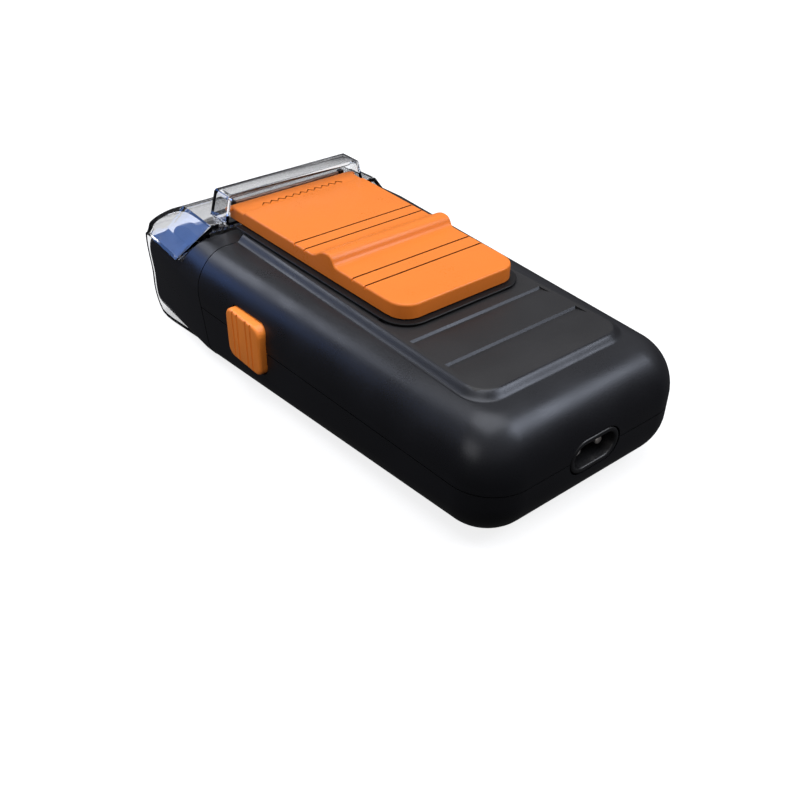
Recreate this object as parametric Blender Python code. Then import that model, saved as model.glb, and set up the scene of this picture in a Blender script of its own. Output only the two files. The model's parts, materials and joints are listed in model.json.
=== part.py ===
"""Compact foil shaver with a pull-out trimmer, lying on its back.

+Z is up, +Y runs from the charging end to the shaving head and X is the width.
The origin is the bottom centre of the closed shaver.  All lengths are metres.
"""
import math

import bmesh
import bpy
from mathutils import Matrix, Vector

MM = 0.001
GAP = 0.3 * MM              # clearance between pieces that touch
MOVE_GAP = 0.4 * MM         # clearance beside a piece that travels
WALL = 1.8 * MM             # moulded wall of the shells

# Overall body
BASE_Y = -67.2 * MM         # charging end face
JOINT_Y = 35.4 * MM         # line where the shaving head meets the body
NOSE_Y = 67.2 * MM          # front of the closed cap
PART_Z = 15.1 * MM          # parting line between the two shells
MOTOR_R = 10.0 * MM
AXIS_Z = MOTOR_R + 5.0 * MM              # motor axis above the back
SHOULDER_Z = AXIS_Z + MOTOR_R + 4.2 * MM  # top of the rounded shoulder
BODY_HALF = 34.0 * MM       # half width at Y = 0
BODY_TAPER = 0.045          # widening of each side towards the head
BASE_CORNER = 11.0 * MM     # plan radius of the two base corners
SHOULDER_IN = 9.5 * MM      # width of the top round-over
SHOULDER_DOWN = 12.0 * MM   # depth of the top round-over
BOTTOM_BASE = 12.0 * MM     # bottom round-over at the charging end
BOTTOM_HEAD = 5.0 * MM      # bottom round-over at the head joint

# Raised deck the trimmer slide runs on
DECK_RISE = 1.6 * MM
DECK_HALF = 20.7 * MM
DECK_BASE_Y = -53.6 * MM
DECK_CORNER = 5.5 * MM
DECK_SKIRT = 2.4 * MM
DECK_Z = SHOULDER_Z + DECK_RISE
GRIP_FIRST_Y = -41.3 * MM   # grip step nearest the charging end
GRIP_PITCH = 11.3 * MM
GRIP_COUNT = 3
GRIP_RAMP = 3.2 * MM
GRIP_DEPTH = 0.9 * MM
GRIP_HALF = 19.6 * MM

# Trimmer slide
SLIDE_BASE_Y = -24.8 * MM
SLIDE_HEAD_Y = 44.4 * MM
SLIDE_HALF = 17.6 * MM      # half width at its base end
SLIDE_TAPER = 0.024
SLIDE_TOP_Z = DECK_Z + 4.7 * MM
SLIDE_CORNER = 5.0 * MM
SLIDE_TRAVEL = 18.0 * MM
PLATE_OUT = 1.7 * MM        # how far the runner shows beyond the slide
RIDGE_Y = 2.9 * MM          # crest of the thumb ridge
RIDGE_H = 2.4 * MM
GROOVE_W = 0.5 * MM
GROOVE_D = 0.45 * MM
GROOVE_YS = (15.4 * MM, 11.3 * MM, -7.2 * MM, -11.7 * MM)
SLIDE_T = 3.6 * MM
PLATE_HEAD_Y = 39.2 * MM
BAND_Y = 37.2 * MM          # start of the marked band at the head end
BAND_DROP = 0.5 * MM
RETAIN_T = 1.2 * MM
RETAIN_HALF = 6.0 * MM
HOOK_HALF = 2.5 * MM
HOOK_Y = 18.0 * MM
HOOK_LEN = 4.0 * MM

# Trimmer
TRIM_Z = SLIDE_TOP_Z - 1.9 * MM  # underside of the fixed comb
COMB_ROOT = 5.0 * MM        # how far the comb reaches under the slide
COMB_TIP_Y = 47.6 * MM
COMB_T = 0.7 * MM
COMB_HALF = 18.0 * MM
COMB_TEETH = 24
TOOTH_LEN = 2.4 * MM
BLADE_T = 0.6 * MM
TRIM_SWING = 1.0 * MM

# Shaving head
HEAD_TAPER = 0.06
CHEEK_IN = 27.6 * MM        # inner face of each cheek
CHEEK_REACH = 0.92          # share of the nose length the cheeks fill
CHEEK_STEP = 0.12 * MM      # how far the cheeks sit inside the collar
HEAD_FLOOR_Z = 4.4 * MM     # inner floor of the head
COLLAR_Y = 45.8 * MM        # front of the collar beside the cheeks
COLLAR_LEAN = 0.52          # how fast the collar front leans back above the rim
CAP_WALL = 1.6 * MM
CAP_REAR_Y = 37.3 * MM      # rear lip of the cap under the head
CAP_TOP_Y = 41.8 * MM       # rear edge of the cap on top
CAP_HIP_Y = 47.0 * MM       # rear edge of the cap at its side rim
CAP_TOP_Z = DECK_Z + 1.4 * MM
CAP_RIM_Z = 23.0 * MM       # lower edge of the slanting side facet
CAP_FACET_IN = 6.6 * MM     # how far the facet leans inwards
CAP_FACET_Z = CAP_TOP_Z - 0.8 * MM  # height where the facet meets the flat top
CAP_FACET_EASE = 2.2        # how late the lean sets in
CAP_FACET_MIN = 0.12        # least share of the lean, which keeps the rim open
NOSE_LOW = ((-7.9, 0.0), (-4.0, 0.9), (-1.8, 3.4), (-0.9, 7.0), (-1.2, 12.0), (-0.4, 16.5),
            (0.0, 20.0))    # bends of the nose: millimetres from its front and from the back
NOSE_RIM_IN = 0.4 * MM      # how far the nose has turned back at the rim
NOSE_HIGH = ((-1.6, -6.2), (-3.8, -3.4), (-7.0, -1.3), (-12.4, -0.3))  # from the cap's top
GUARD_HALF = 20.6 * MM
GUARD_SPLAY = 1.8 * MM
GUARD_Y0 = 41.9 * MM
GUARD_Y1 = 48.9 * MM
GUARD_TOP_Z = SLIDE_TOP_Z + 3.4 * MM
GUARD_WALL = 0.9 * MM
GUARD_FOOT_Z = CAP_TOP_Z - 1.2 * MM
GUARD_EDGE = 0.8 * MM
FOIL_R = 9.0 * MM
FOIL_Y = 53.4 * MM
FOIL_Z = AXIS_Z + 2.8 * MM
FOIL_T = 0.25 * MM
FOIL_HALF = 24.0 * MM
FOIL_START = -60.0          # degrees from +Y, seen from the side
FOIL_STOP = 90.0
FRAME_T = 3.0 * MM
CUT_SWING = 1.2 * MM
BLADE_COUNT = 24
BLADE_MID = 30.0            # direction the cutter faces, degrees
BLADE_CHORD = 3.2 * MM
CARRIER_Y0 = 47.5 * MM
CARRIER_Z0 = AXIS_Z - 2.3 * MM
CARRIER_Z1 = AXIS_Z + 7.4 * MM

# Drive and inside pieces
MOTOR_Y0 = -2.0 * MM
MOTOR_Y1 = 22.4 * MM
SHAFT_R = 1.0 * MM
ECC_OFF = 1.2 * MM
ECC_R = 1.2 * MM
ECC_DISC_R = 3.2 * MM
ECC_Y0 = 29.0 * MM
YOKE_Y = 32.6 * MM
YOKE_T = 2.4 * MM
YOKE_HALF = 6.0 * MM
BULK_T = 1.6 * MM
BULK_HALF = 26.5 * MM
BULK_Z1 = SHOULDER_Z - 2.1 * MM
BATTERY_R = 7.0 * MM
BATTERY_Y0 = -42.5 * MM
BATTERY_Y1 = -5.0 * MM
BATTERY_X = 8.0 * MM
BOARD_T = 1.2 * MM
CHASSIS_HALF = 19.5 * MM
CHASSIS_Y0 = -44.0 * MM
CHASSIS_Y1 = 24.0 * MM
CHASSIS_T = 1.2 * MM
CHASSIS_H = 15.5 * MM
SEAT_HALF = 26.0 * MM       # outer face of the spring seats
POST_Z = 5.0 * MM
LOW_POST_Z = 4.6 * MM       # top of the posts in the lower shell
SCREW_SINK = 1.0 * MM       # how far the screw heads lie inside the back
SCREW_NECK_Z = 2.4 * MM
SCREW_TIP_Z = 14.0 * MM

# Charging inlet
PIN_SPACING = 6.6 * MM
PIN_R = 1.0 * MM
PIN_LEN = 6.0 * MM
INLET_HALF_W = 6.2 * MM
INLET_HALF_H = 3.0 * MM
INLET_RIM = 1.2 * MM
INLET_DEPTH = 8.0 * MM

# Release buttons
BUTTON_Y = 13.6 * MM
BUTTON_LEN = 15.0 * MM
BUTTON_H = 13.6 * MM
BUTTON_OUT = 1.3 * MM
BUTTON_T = 4.2 * MM
BUTTON_CORNER = 2.6 * MM
BUTTON_RIBS = 4
BUTTON_RIB_PITCH = 3.2 * MM

SCREW_R = 1.1 * MM
SCREW_REAR_X = 16.0 * MM
SCREW_REAR_Y = -50.0 * MM
SCREW_FRONT_X = 21.0 * MM
SCREW_FRONT_Y = 29.0 * MM
SCREW_HEAD_R = 2.1 * MM
OVER = 2.0 * MM             # how far a cutter reaches past a face
FAR = 60.0 * MM             # a length beyond the whole width
BORE_SEG = 24
ARC_SEG = 7

SHAVER = "Foil_shaver"


def clear_scene():
    """Take away whatever the start-up file holds."""
    for item in list(bpy.data.objects):
        bpy.data.objects.remove(item, do_unlink=True)


def make_collection(name):
    """Return a new collection linked to the scene."""
    group = bpy.data.collections.new(name)
    bpy.context.scene.collection.children.link(group)
    return group


def finish(name, colour, rough, metal=0.0, alpha=1.0):
    """Return a plain material for one moulded, metal or clear piece."""
    mat = bpy.data.materials.new(name)
    mat.use_nodes = True
    shader = mat.node_tree.nodes["Principled BSDF"]
    shader.inputs["Base Color"].default_value = (*colour, 1.0)
    shader.inputs["Roughness"].default_value = rough
    shader.inputs["Metallic"].default_value = metal
    shader.inputs["Alpha"].default_value = alpha
    mat.diffuse_color = (*colour, alpha)
    return mat


def make_object(name, bm, mat, group, smooth=False):
    """Turn a bmesh into a named object with outward faces."""
    bmesh.ops.remove_doubles(bm, verts=bm.verts, dist=1e-6)
    bmesh.ops.recalc_face_normals(bm, faces=bm.faces)
    mesh = bpy.data.meshes.new(name)
    bm.to_mesh(mesh)
    bm.free()
    if smooth:
        mesh.shade_smooth()
    if mat is not None:
        mesh.materials.append(mat)
    obj = bpy.data.objects.new(name, mesh)
    group.objects.link(obj)
    return obj


def loft(name, rings, mat, group, smooth=False):
    """Skin equal loops of points and close both ends."""
    bm = bmesh.new()
    loops = [[bm.verts.new(p) for p in ring] for ring in rings]
    count = len(loops[0])
    for low, high in zip(loops, loops[1:]):
        for i in range(count):
            j = (i + 1) % count
            bm.faces.new((low[i], low[j], high[j], high[i]))
    bm.faces.new(list(reversed(loops[0])))
    bm.faces.new(loops[-1])
    return make_object(name, bm, mat, group, smooth)


def box(name, xs, ys, zs, mat, group, bevel=0.0, segments=2):
    """Make a block between two corners, with rounded edges if asked."""
    size = Vector((xs[1] - xs[0], ys[1] - ys[0], zs[1] - zs[0]))
    mid = Vector(((xs[0] + xs[1]) / 2, (ys[0] + ys[1]) / 2, (zs[0] + zs[1]) / 2))
    bm = bmesh.new()
    place = Matrix.Translation(mid) @ Matrix.Diagonal((*size, 1.0))
    bmesh.ops.create_cube(bm, size=1.0, matrix=place)
    if bevel:
        bmesh.ops.bevel(bm, geom=bm.edges[:], offset=bevel, segments=segments,
                        affect="EDGES", profile=0.5)
    return make_object(name, bm, mat, group)


def cylinder(name, start, end, radius, mat, group, segments=BORE_SEG, radius2=None):
    """Make a round bar from one point to another."""
    start = Vector(start)
    end = Vector(end)
    span = end - start
    turn = span.to_track_quat("Z", "Y").to_matrix().to_4x4()
    bm = bmesh.new()
    bmesh.ops.create_cone(bm, cap_ends=True, segments=segments, radius1=radius,
                          radius2=radius if radius2 is None else radius2,
                          depth=span.length,
                          matrix=Matrix.Translation((start + end) / 2) @ turn)
    return make_object(name, bm, mat, group)


def boolean(target, tool, operation="DIFFERENCE"):
    """Join or cut a piece with a helper solid."""
    mod = target.modifiers.new(tool.name, "BOOLEAN")
    mod.operation = operation
    mod.solver = "EXACT"
    mod.object = tool
    return target


def body_half(y):
    """Half width of the body at the parting line."""
    return BODY_HALF + BODY_TAPER * y


def body_outline(inset, z, head_y, corner=BASE_CORNER):
    """Plan loop of the body; inset and z are functions of the distance along it."""
    radius = max(corner - inset(BASE_Y) * 0.72, 1.2 * MM)
    base = BASE_Y + inset(BASE_Y)
    points = [Vector((-body_half(head_y) + inset(head_y), head_y, z(head_y)))]
    for step in range(ARC_SEG + 1):
        turn = math.pi / 2 * step / ARC_SEG
        y = base + radius * (1 - math.sin(turn))
        x = -(body_half(base) - inset(base) - radius * (1 - math.cos(turn)))
        points.append(Vector((x, y, z(y))))
    points += [Vector((-p.x, p.y, p.z)) for p in reversed(points)]
    return points


def level(value):
    """Return a function that gives the same value everywhere along the body."""
    return lambda y: value


def bottom_round(y):
    """Bottom round-over, large at the charging end and small at the head."""
    share = (y - BASE_Y) / (JOINT_Y - BASE_Y)
    return BOTTOM_BASE + (BOTTOM_HEAD - BOTTOM_BASE) * share


def deck_outline(out, z, head_y):
    """Plan loop of the raised deck, grown by a set amount."""
    radius = DECK_CORNER + out * 0.5
    half = DECK_HALF + out
    base = DECK_BASE_Y - out
    points = [Vector((-half, head_y, z))]
    for step in range(ARC_SEG + 1):
        turn = math.pi / 2 * step / ARC_SEG
        y = base + radius * (1 - math.sin(turn))
        x = -(half - radius * (1 - math.cos(turn)))
        points.append(Vector((x, y, z)))
    points += [Vector((-p.x, p.y, p.z)) for p in reversed(points)]
    return points


def upper_rings(shrink, low_z, head_y, with_deck):
    """Loops of the upper half, from the parting line to the top."""
    rings = [body_outline(level(shrink), level(low_z), head_y)]
    start = SHOULDER_Z - SHOULDER_DOWN
    for step in range(ARC_SEG + 1):
        turn = math.pi / 2 * step / ARC_SEG
        z = start + (SHOULDER_DOWN - shrink) * math.sin(turn)
        inset = shrink + (SHOULDER_IN - shrink) * (1 - math.cos(turn))
        rings.append(body_outline(level(inset), level(z), head_y))
    if with_deck:
        rings.append(deck_outline(DECK_SKIRT, SHOULDER_Z + 0.05 * MM, head_y))
        rings.append(deck_outline(DECK_SKIRT * 0.45, SHOULDER_Z + DECK_RISE * 0.7, head_y))
        rings.append(deck_outline(0.0, DECK_Z, head_y))
    return rings


def lower_rings(shrink, high_z, head_y):
    """Loops of the lower half, from the back face to the parting line."""
    rings = []
    for step in range(ARC_SEG + 1):
        turn = math.pi / 2 * (1 - step / ARC_SEG)
        rings.append(body_outline(
            lambda y, t=turn: shrink + (bottom_round(y) - shrink) * (1 - math.cos(t)),
            lambda y, t=turn: shrink + (bottom_round(y) - shrink) * (1 - math.sin(t)),
            head_y))
    rings.append(body_outline(level(shrink), level(high_z), head_y))
    return rings


def build_upper_shell(mats, parts, tools):
    """Upper shell with the raised deck, grip steps and hook slot."""
    shell = loft("upper_shell", upper_rings(0.0, PART_Z + GAP / 2, JOINT_Y, True),
                 mats["body"], parts)
    hollow = loft("cut_upper_hollow",
                  upper_rings(WALL, PART_Z - WALL, JOINT_Y + WALL, False), None, tools)
    boolean(shell, hollow)
    for index in range(GRIP_COUNT):
        wall_y = GRIP_FIRST_Y + index * GRIP_PITCH
        boolean(shell, grip_wedge(index, wall_y, tools))
    slot = box("cut_hook_slot", (-HOOK_HALF - MOVE_GAP, HOOK_HALF + MOVE_GAP),
               (HOOK_Y - SLIDE_TRAVEL - MOVE_GAP, HOOK_Y + HOOK_LEN + MOVE_GAP),
               (SHOULDER_Z - 2 * WALL, DECK_Z + WALL), None, tools)
    boolean(shell, slot)
    return shell


def grip_wedge(index, wall_y, tools):
    """Sawtooth cutter: an upright wall towards the head, a ramp behind it."""
    bm = bmesh.new()
    top = DECK_Z + OVER
    ramp = GRIP_RAMP * (1 + OVER / GRIP_DEPTH)
    corners = ((wall_y, top), (wall_y - ramp, top), (wall_y, DECK_Z - GRIP_DEPTH))
    left = [bm.verts.new((-GRIP_HALF, y, z)) for y, z in corners]
    right = [bm.verts.new((GRIP_HALF, y, z)) for y, z in corners]
    bm.faces.new(left)
    bm.faces.new(list(reversed(right)))
    for i in range(3):
        j = (i + 1) % 3
        bm.faces.new((left[j], left[i], right[i], right[j]))
    return make_object("cut_grip_%d" % (index + 1), bm, None, tools)


def build_lower_shell(mats, parts, tools):
    """Lower shell with screw holes in its back."""
    shell = loft("lower_shell", lower_rings(0.0, PART_Z - GAP / 2, JOINT_Y),
                 mats["body"], parts)
    hollow = loft("cut_lower_hollow", lower_rings(WALL, PART_Z + WALL, JOINT_Y + WALL),
                  None, tools)
    boolean(shell, hollow)
    return shell


def screw_places():
    """Where the four shell screws stand."""
    rear = [(x, SCREW_REAR_Y) for x in (-SCREW_REAR_X, SCREW_REAR_X)]
    return rear + [(x, SCREW_FRONT_Y) for x in (-SCREW_FRONT_X, SCREW_FRONT_X)]


def build_screws(mats, parts, tools, lower):
    """Four long screws up from the back into posts of the upper shell."""
    for number, (x, y) in enumerate(screw_places(), 1):
        neck = SCREW_NECK_Z + GAP / 2
        head = cylinder("cut_screw_head_%d" % number, (x, y, -OVER), (x, y, neck),
                        SCREW_HEAD_R + GAP, None, tools)
        shank = cylinder("cut_screw_shank_%d" % number, (x, y, SCREW_NECK_Z - GAP),
                         (x, y, LOW_POST_Z + OVER), SCREW_R + GAP, None, tools)
        post = cylinder("add_screw_post_%d" % number, (x, y, SCREW_SINK), (x, y, LOW_POST_Z),
                        SCREW_HEAD_R + WALL, None, tools)
        boolean(lower, post, "UNION")
        boolean(lower, head)
        boolean(lower, shank)
        turned_screw("shell_screw_%d" % number, x, y, SCREW_SINK, SCREW_NECK_Z, SCREW_TIP_Z,
                     mats["steel"], parts)


def turned_screw(name, x, y, low_z, neck_z, tip_z, mat, group):
    """Pan-head screw turned about its own axis."""
    bm = bmesh.new()
    outline = ((SCREW_HEAD_R * 0.86, low_z), (SCREW_HEAD_R, low_z + 0.3 * MM),
               (SCREW_HEAD_R, neck_z), (SCREW_R, neck_z), (SCREW_R, tip_z - MM),
               (SCREW_R * 0.4, tip_z))
    rings = []
    for radius, z in outline:
        ring = []
        for step in range(BORE_SEG // 2):
            turn = 2 * math.pi * step / (BORE_SEG // 2)
            ring.append(bm.verts.new((x + radius * math.cos(turn),
                                      y + radius * math.sin(turn), z)))
        rings.append(ring)
    count = len(rings[0])
    for low, high in zip(rings, rings[1:]):
        for i in range(count):
            j = (i + 1) % count
            bm.faces.new((low[i], low[j], high[j], high[i]))
    bm.faces.new(list(reversed(rings[0])))
    bm.faces.new(rings[-1])
    return make_object(name, bm, mat, group)


def prism(name, outline, xs, mat, group):
    """Extrude a side-view outline of (y, z) points across the width."""
    rings = [[Vector((x, y, z)) for y, z in outline] for x in xs]
    return loft(name, rings, mat, group)


def head_half(y):
    """Half width of the shaving head, drawing in towards the nose."""
    return body_half(JOINT_Y) - HEAD_TAPER * (y - JOINT_Y)


def arc(centre_y, centre_z, radius, start, stop, steps):
    """Points of a side-view arc, angles in degrees from +Y."""
    points = []
    for step in range(steps + 1):
        turn = math.radians(start + (stop - start) * step / steps)
        points.append((centre_y + radius * math.cos(turn),
                       centre_z + radius * math.sin(turn)))
    return points


def build_posts(upper, tools):
    """Bored posts in the upper shell that take the four shell screws."""
    for number, (x, y) in enumerate(screw_places(), 1):
        post = cylinder("add_upper_post_%d" % number, (x, y, POST_Z),
                        (x, y, SHOULDER_Z - WALL / 2), SCREW_HEAD_R + 1.1 * MM, None, tools)
        bore = cylinder("cut_upper_post_%d" % number, (x, y, POST_Z - MM),
                        (x, y, SCREW_TIP_Z + MM), SCREW_R + GAP, None, tools)
        boolean(upper, post, "UNION")
        boolean(upper, bore)


def slide_half(y):
    """Half width of the orange slide, widening towards the head."""
    return SLIDE_HALF + SLIDE_TAPER * (y - SLIDE_BASE_Y)


def slide_profile():
    """Side view of the slide top: flat, band, and the thumb ridge."""
    points = [(SLIDE_BASE_Y, 0.0), (RIDGE_Y - 5.9 * MM, 0.0)]
    points += [(RIDGE_Y - 3.6 * MM, 0.25 * MM), (RIDGE_Y - 2.9 * MM, 0.9 * MM)]
    points += [(RIDGE_Y - 2.2 * MM, 1.9 * MM), (RIDGE_Y - 1.2 * MM, RIDGE_H)]
    points += [(RIDGE_Y + 0.6 * MM, RIDGE_H * 0.95), (RIDGE_Y + 2.4 * MM, RIDGE_H * 0.5)]
    points += [(RIDGE_Y + 4.6 * MM, 0.0), (BAND_Y, 0.0), (BAND_Y + 0.8 * MM, -BAND_DROP)]
    points += [(SLIDE_HEAD_Y, -BAND_DROP * 0.4)]
    return points


def build_slide(mats, parts, tools):
    """Orange slide: a slab with a thumb ridge and two pairs of grooves."""
    low = SLIDE_TOP_Z - SLIDE_T
    top = slide_profile()
    corner = {SLIDE_BASE_Y + SLIDE_CORNER * (1 - math.cos(math.pi / 2 * s / ARC_SEG))
              for s in range(ARC_SEG + 1)}
    cuts = sorted({y for y, _ in top} | corner)
    rings = []
    for y in cuts:
        half = slide_edge(y, 0.0, SLIDE_CORNER)
        z = SLIDE_TOP_Z + height_at(top, y)
        edge = 0.35 * MM
        rings.append([Vector((-half, y, low)), Vector((-half, y, z - edge)),
                      Vector((-half + edge, y, z)), Vector((half - edge, y, z)),
                      Vector((half, y, z - edge)), Vector((half, y, low))])
    slide = loft("trimmer_slide", rings, mats["orange"], parts)
    for number, y in enumerate(GROOVE_YS, 1):
        groove = box("cut_slide_groove_%d" % number, (-FAR, FAR),
                     (y - GROOVE_W / 2, y + GROOVE_W / 2),
                     (SLIDE_TOP_Z - GROOVE_D, SLIDE_TOP_Z + MM), None, tools)
        boolean(slide, groove)
    nest = box("cut_slide_nest", (-COMB_HALF - GAP, COMB_HALF + GAP),
               (SLIDE_HEAD_Y - COMB_ROOT, SLIDE_HEAD_Y + MM),
               (low - MM, TRIM_Z + COMB_T + GAP), None, tools)
    boolean(slide, nest)
    return slide


def height_at(profile, y):
    """Height of a side-view profile at one place along it."""
    for (y0, z0), (y1, z1) in zip(profile, profile[1:]):
        if y0 <= y <= y1:
            return z0 + (z1 - z0) * (y - y0) / (y1 - y0)
    return profile[-1][1]


def slide_edge(y, grow, corner):
    """Half width of a slide-shaped plate at one place along it."""
    full = slide_half(y) + grow
    base = SLIDE_BASE_Y - grow
    over = base + corner - y
    if over <= 0:
        return full
    over = min(over, corner)
    return full - corner + math.sqrt(max(corner * corner - over * over, 0.0))


def build_slide_plate(mats, parts, tools):
    """Black runner under the slide with the hook that holds it to the deck."""
    low = DECK_Z + GAP
    high = SLIDE_TOP_Z - SLIDE_T - GAP
    corner = SLIDE_CORNER + PLATE_OUT
    base = SLIDE_BASE_Y - PLATE_OUT
    cuts = [base + corner * (1 - math.cos(math.pi / 2 * s / ARC_SEG))
            for s in range(ARC_SEG + 1)] + [PLATE_HEAD_Y]
    rings = []
    for y in cuts:
        half = slide_edge(y, PLATE_OUT, corner)
        rings.append([Vector((-half, y, low)), Vector((-half, y, high)),
                      Vector((half, y, high)), Vector((half, y, low))])
    retain_z = SHOULDER_Z - WALL - MOVE_GAP - RETAIN_T
    plate = loft("slide_runner", rings, mats["body"], parts)
    hook = box("add_hook", (-HOOK_HALF, HOOK_HALF), (HOOK_Y, HOOK_Y + HOOK_LEN),
               (retain_z + RETAIN_T + GAP, high - 0.2 * MM), None, tools)
    boolean(plate, hook, "UNION")
    box("slide_retainer", (-RETAIN_HALF, RETAIN_HALF),
        (HOOK_Y - MM, HOOK_Y + HOOK_LEN + MM), (retain_z, retain_z + RETAIN_T),
        mats["grey"], parts, bevel=0.3 * MM, segments=1)
    return plate


def toothed_plate(name, half, count, root_y, tip_y, low, high, share, mat, group):
    """Flat blade with a row of teeth along its head edge."""
    pitch = 2 * half / count
    base = [(-half, root_y)]
    edge = []
    for index in range(count):
        left = half - index * pitch
        gap_y = tip_y - TOOTH_LEN
        edge += [(left - pitch * (1 - share) / 2, gap_y), (left - pitch * 0.38, tip_y),
                 (left - pitch * 0.62, tip_y), (left - pitch * (1 + share) / 2, gap_y)]
    outline = base + [(half, root_y), (half, tip_y - TOOTH_LEN)] + edge
    outline += [(-half, tip_y - TOOTH_LEN)]
    rings = [[Vector((x, y, z)) for x, y in outline] for z in (low, high)]
    return loft(name, rings, mat, group)


def build_trimmer(mats, parts, tools):
    """Fixed comb, moving blade, clamp bar and the two clamp screws."""
    root = SLIDE_HEAD_Y - COMB_ROOT + GAP
    toothed_plate("trimmer_comb", COMB_HALF, COMB_TEETH, root, COMB_TIP_Y,
                  TRIM_Z, TRIM_Z + COMB_T, 0.7, mats["steel"], parts)
    blade_top = TRIM_Z - 0.1 * MM
    toothed_plate("trimmer_blade", COMB_HALF - 2 * TRIM_SWING, COMB_TEETH - 3,
                  root + MM, COMB_TIP_Y - 0.5 * MM, blade_top - BLADE_T, blade_top, 0.6,
                  mats["steel"], parts)
    bar_top = blade_top - BLADE_T - GAP
    box("trimmer_clamp", (-COMB_HALF + 3 * MM, COMB_HALF - 3 * MM),
        (root, SLIDE_HEAD_Y + 0.6 * MM), (bar_top - 0.9 * MM, bar_top), mats["bronze"], parts,
        bevel=0.25 * MM, segments=1)


def build_inlet(mats, parts, tools, upper, lower):
    """Two-pin charging inlet set in the end face across the parting line."""
    for target, tag in ((upper, "upper"), (lower, "lower")):
        boolean(target, loft("cut_inlet_%s" % tag, inlet_rings(
            INLET_RIM + GAP, BASE_Y - OVER, BASE_Y + INLET_DEPTH + MM), None, tools))
    rings = inlet_rings(INLET_RIM, BASE_Y, BASE_Y + INLET_DEPTH)
    socket = loft("inlet_socket", rings, mats["grey"], parts)
    hollow = loft("cut_inlet_bowl", inlet_rings(0.0, BASE_Y - OVER,
                                                BASE_Y + INLET_DEPTH - 1.4 * MM), None, tools)
    boolean(socket, hollow)
    for side, tag in ((-1, "left"), (1, "right")):
        x = side * PIN_SPACING / 2
        back = BASE_Y + INLET_DEPTH + 2 * MM
        bore = cylinder("cut_pin_%s" % tag, (x, BASE_Y, PART_Z), (x, back + MM, PART_Z),
                        PIN_R + 0.1 * MM, None, tools, segments=16)
        boolean(socket, bore)
        cylinder("inlet_pin_%s" % tag, (x, back - PIN_LEN - 2.2 * MM, PART_Z),
                 (x, back, PART_Z), PIN_R, mats["brass"], parts, segments=16)
    return socket


def inlet_rings(grow, near, far):
    """Two stadium loops for the inlet, one at each end."""
    half_w = INLET_HALF_W + grow
    half_h = INLET_HALF_H + grow
    loops = []
    for y in (near, far):
        ring = []
        for side in (1, -1):
            for step in range(9):
                turn = side * (math.pi / 2 - math.pi * step / 8)
                ring.append(Vector((side * (half_w - half_h + half_h * math.cos(turn)),
                                    y, PART_Z + half_h * math.sin(turn))))
        loops.append(ring)
    return loops


def build_button(side, mats, parts, tools, upper, lower):
    """One ribbed release button standing through the side wall."""
    tag = "right" if side > 0 else "left"
    outer = body_half(BUTTON_Y) + BUTTON_OUT
    inner = outer - BUTTON_T
    half_y = BUTTON_LEN / 2
    half_z = BUTTON_H / 2
    rings = []
    for x, draw in ((inner, 0.0), (outer - 0.6 * MM, 0.0), (outer - 0.15 * MM, 0.25 * MM),
                    (outer, 0.7 * MM)):
        rings.append([Vector((side * x, BUTTON_Y + y, PART_Z + z)) for y, z in
                      rounded_rect(half_y - draw, half_z - draw, BUTTON_CORNER)])
    button = loft("release_button_%s" % tag, rings, mats["orange"], parts)
    for rib in range(BUTTON_RIBS):
        y = BUTTON_Y + (rib - (BUTTON_RIBS - 1) / 2) * BUTTON_RIB_PITCH
        y += BUTTON_RIB_PITCH * 0.22 * (1 if rib >= BUTTON_RIBS / 2 else -1)
        cut = cylinder("cut_rib_%s_%d" % (tag, rib + 1),
                       (side * (outer + 0.1 * MM), y, PART_Z - half_z),
                       (side * (outer + 0.1 * MM), y, PART_Z + half_z), 0.45 * MM,
                       None, tools, segments=8)
        boolean(button, cut)
    for target, where in ((upper, "upper"), (lower, "lower")):
        hole = button_window(side, where, tools)
        boolean(target, hole)
    spring("button_spring_%s" % tag, side * (inner - GAP), side * (SEAT_HALF + GAP),
           BUTTON_Y, PART_Z, mats["steel"], parts)
    return button


def rounded_rect(half_a, half_b, radius, steps=4):
    """Loop of points round a rectangle with round corners."""
    points = []
    for quarter, (sa, sb) in enumerate(((1, 1), (-1, 1), (-1, -1), (1, -1))):
        for step in range(steps + 1):
            turn = math.pi / 2 * (quarter + step / steps)
            points.append((sa * (half_a - radius) + radius * math.cos(turn),
                           sb * (half_b - radius) + radius * math.sin(turn)))
    return points


def spring(name, x0, x1, y, z, mat, group, radius=2.2 * MM, wire=0.3 * MM, turns=5):
    """Coil spring along X as one closed swept wire."""
    steps = turns * 10
    bm = bmesh.new()
    loops = []
    low, high = sorted((x0, x1))
    low += wire
    high -= wire
    for step in range(steps + 1):
        turn = 2 * math.pi * turns * step / steps
        centre = Vector((low + (high - low) * step / steps, y + radius * math.cos(turn),
                         z + radius * math.sin(turn)))
        outward = Vector((0.0, math.cos(turn), math.sin(turn)))
        loops.append([bm.verts.new(centre + wire * (math.cos(a) * outward
                                                    + Vector((math.sin(a), 0, 0))))
                      for a in (math.pi * k / 3 for k in range(6))])
    for low_loop, high_loop in zip(loops, loops[1:]):
        for i in range(6):
            j = (i + 1) % 6
            bm.faces.new((low_loop[i], low_loop[j], high_loop[j], high_loop[i]))
    bm.faces.new(list(reversed(loops[0])))
    bm.faces.new(loops[-1])
    return make_object(name, bm, mat, group)


def button_window(side, where, tools):
    """Round-cornered opening in the side wall for one release button."""
    tag = "right" if side > 0 else "left"
    loops = []
    for x in (body_half(BUTTON_Y) - 6 * MM, body_half(BUTTON_Y) + 4 * MM):
        loops.append([Vector((side * x, BUTTON_Y + y, PART_Z + z)) for y, z in
                      rounded_rect(BUTTON_LEN / 2 + MOVE_GAP, BUTTON_H / 2 + MOVE_GAP,
                                   BUTTON_CORNER + MOVE_GAP)])
    return loft("cut_button_%s_%s" % (tag, where), loops, None, tools)


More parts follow.
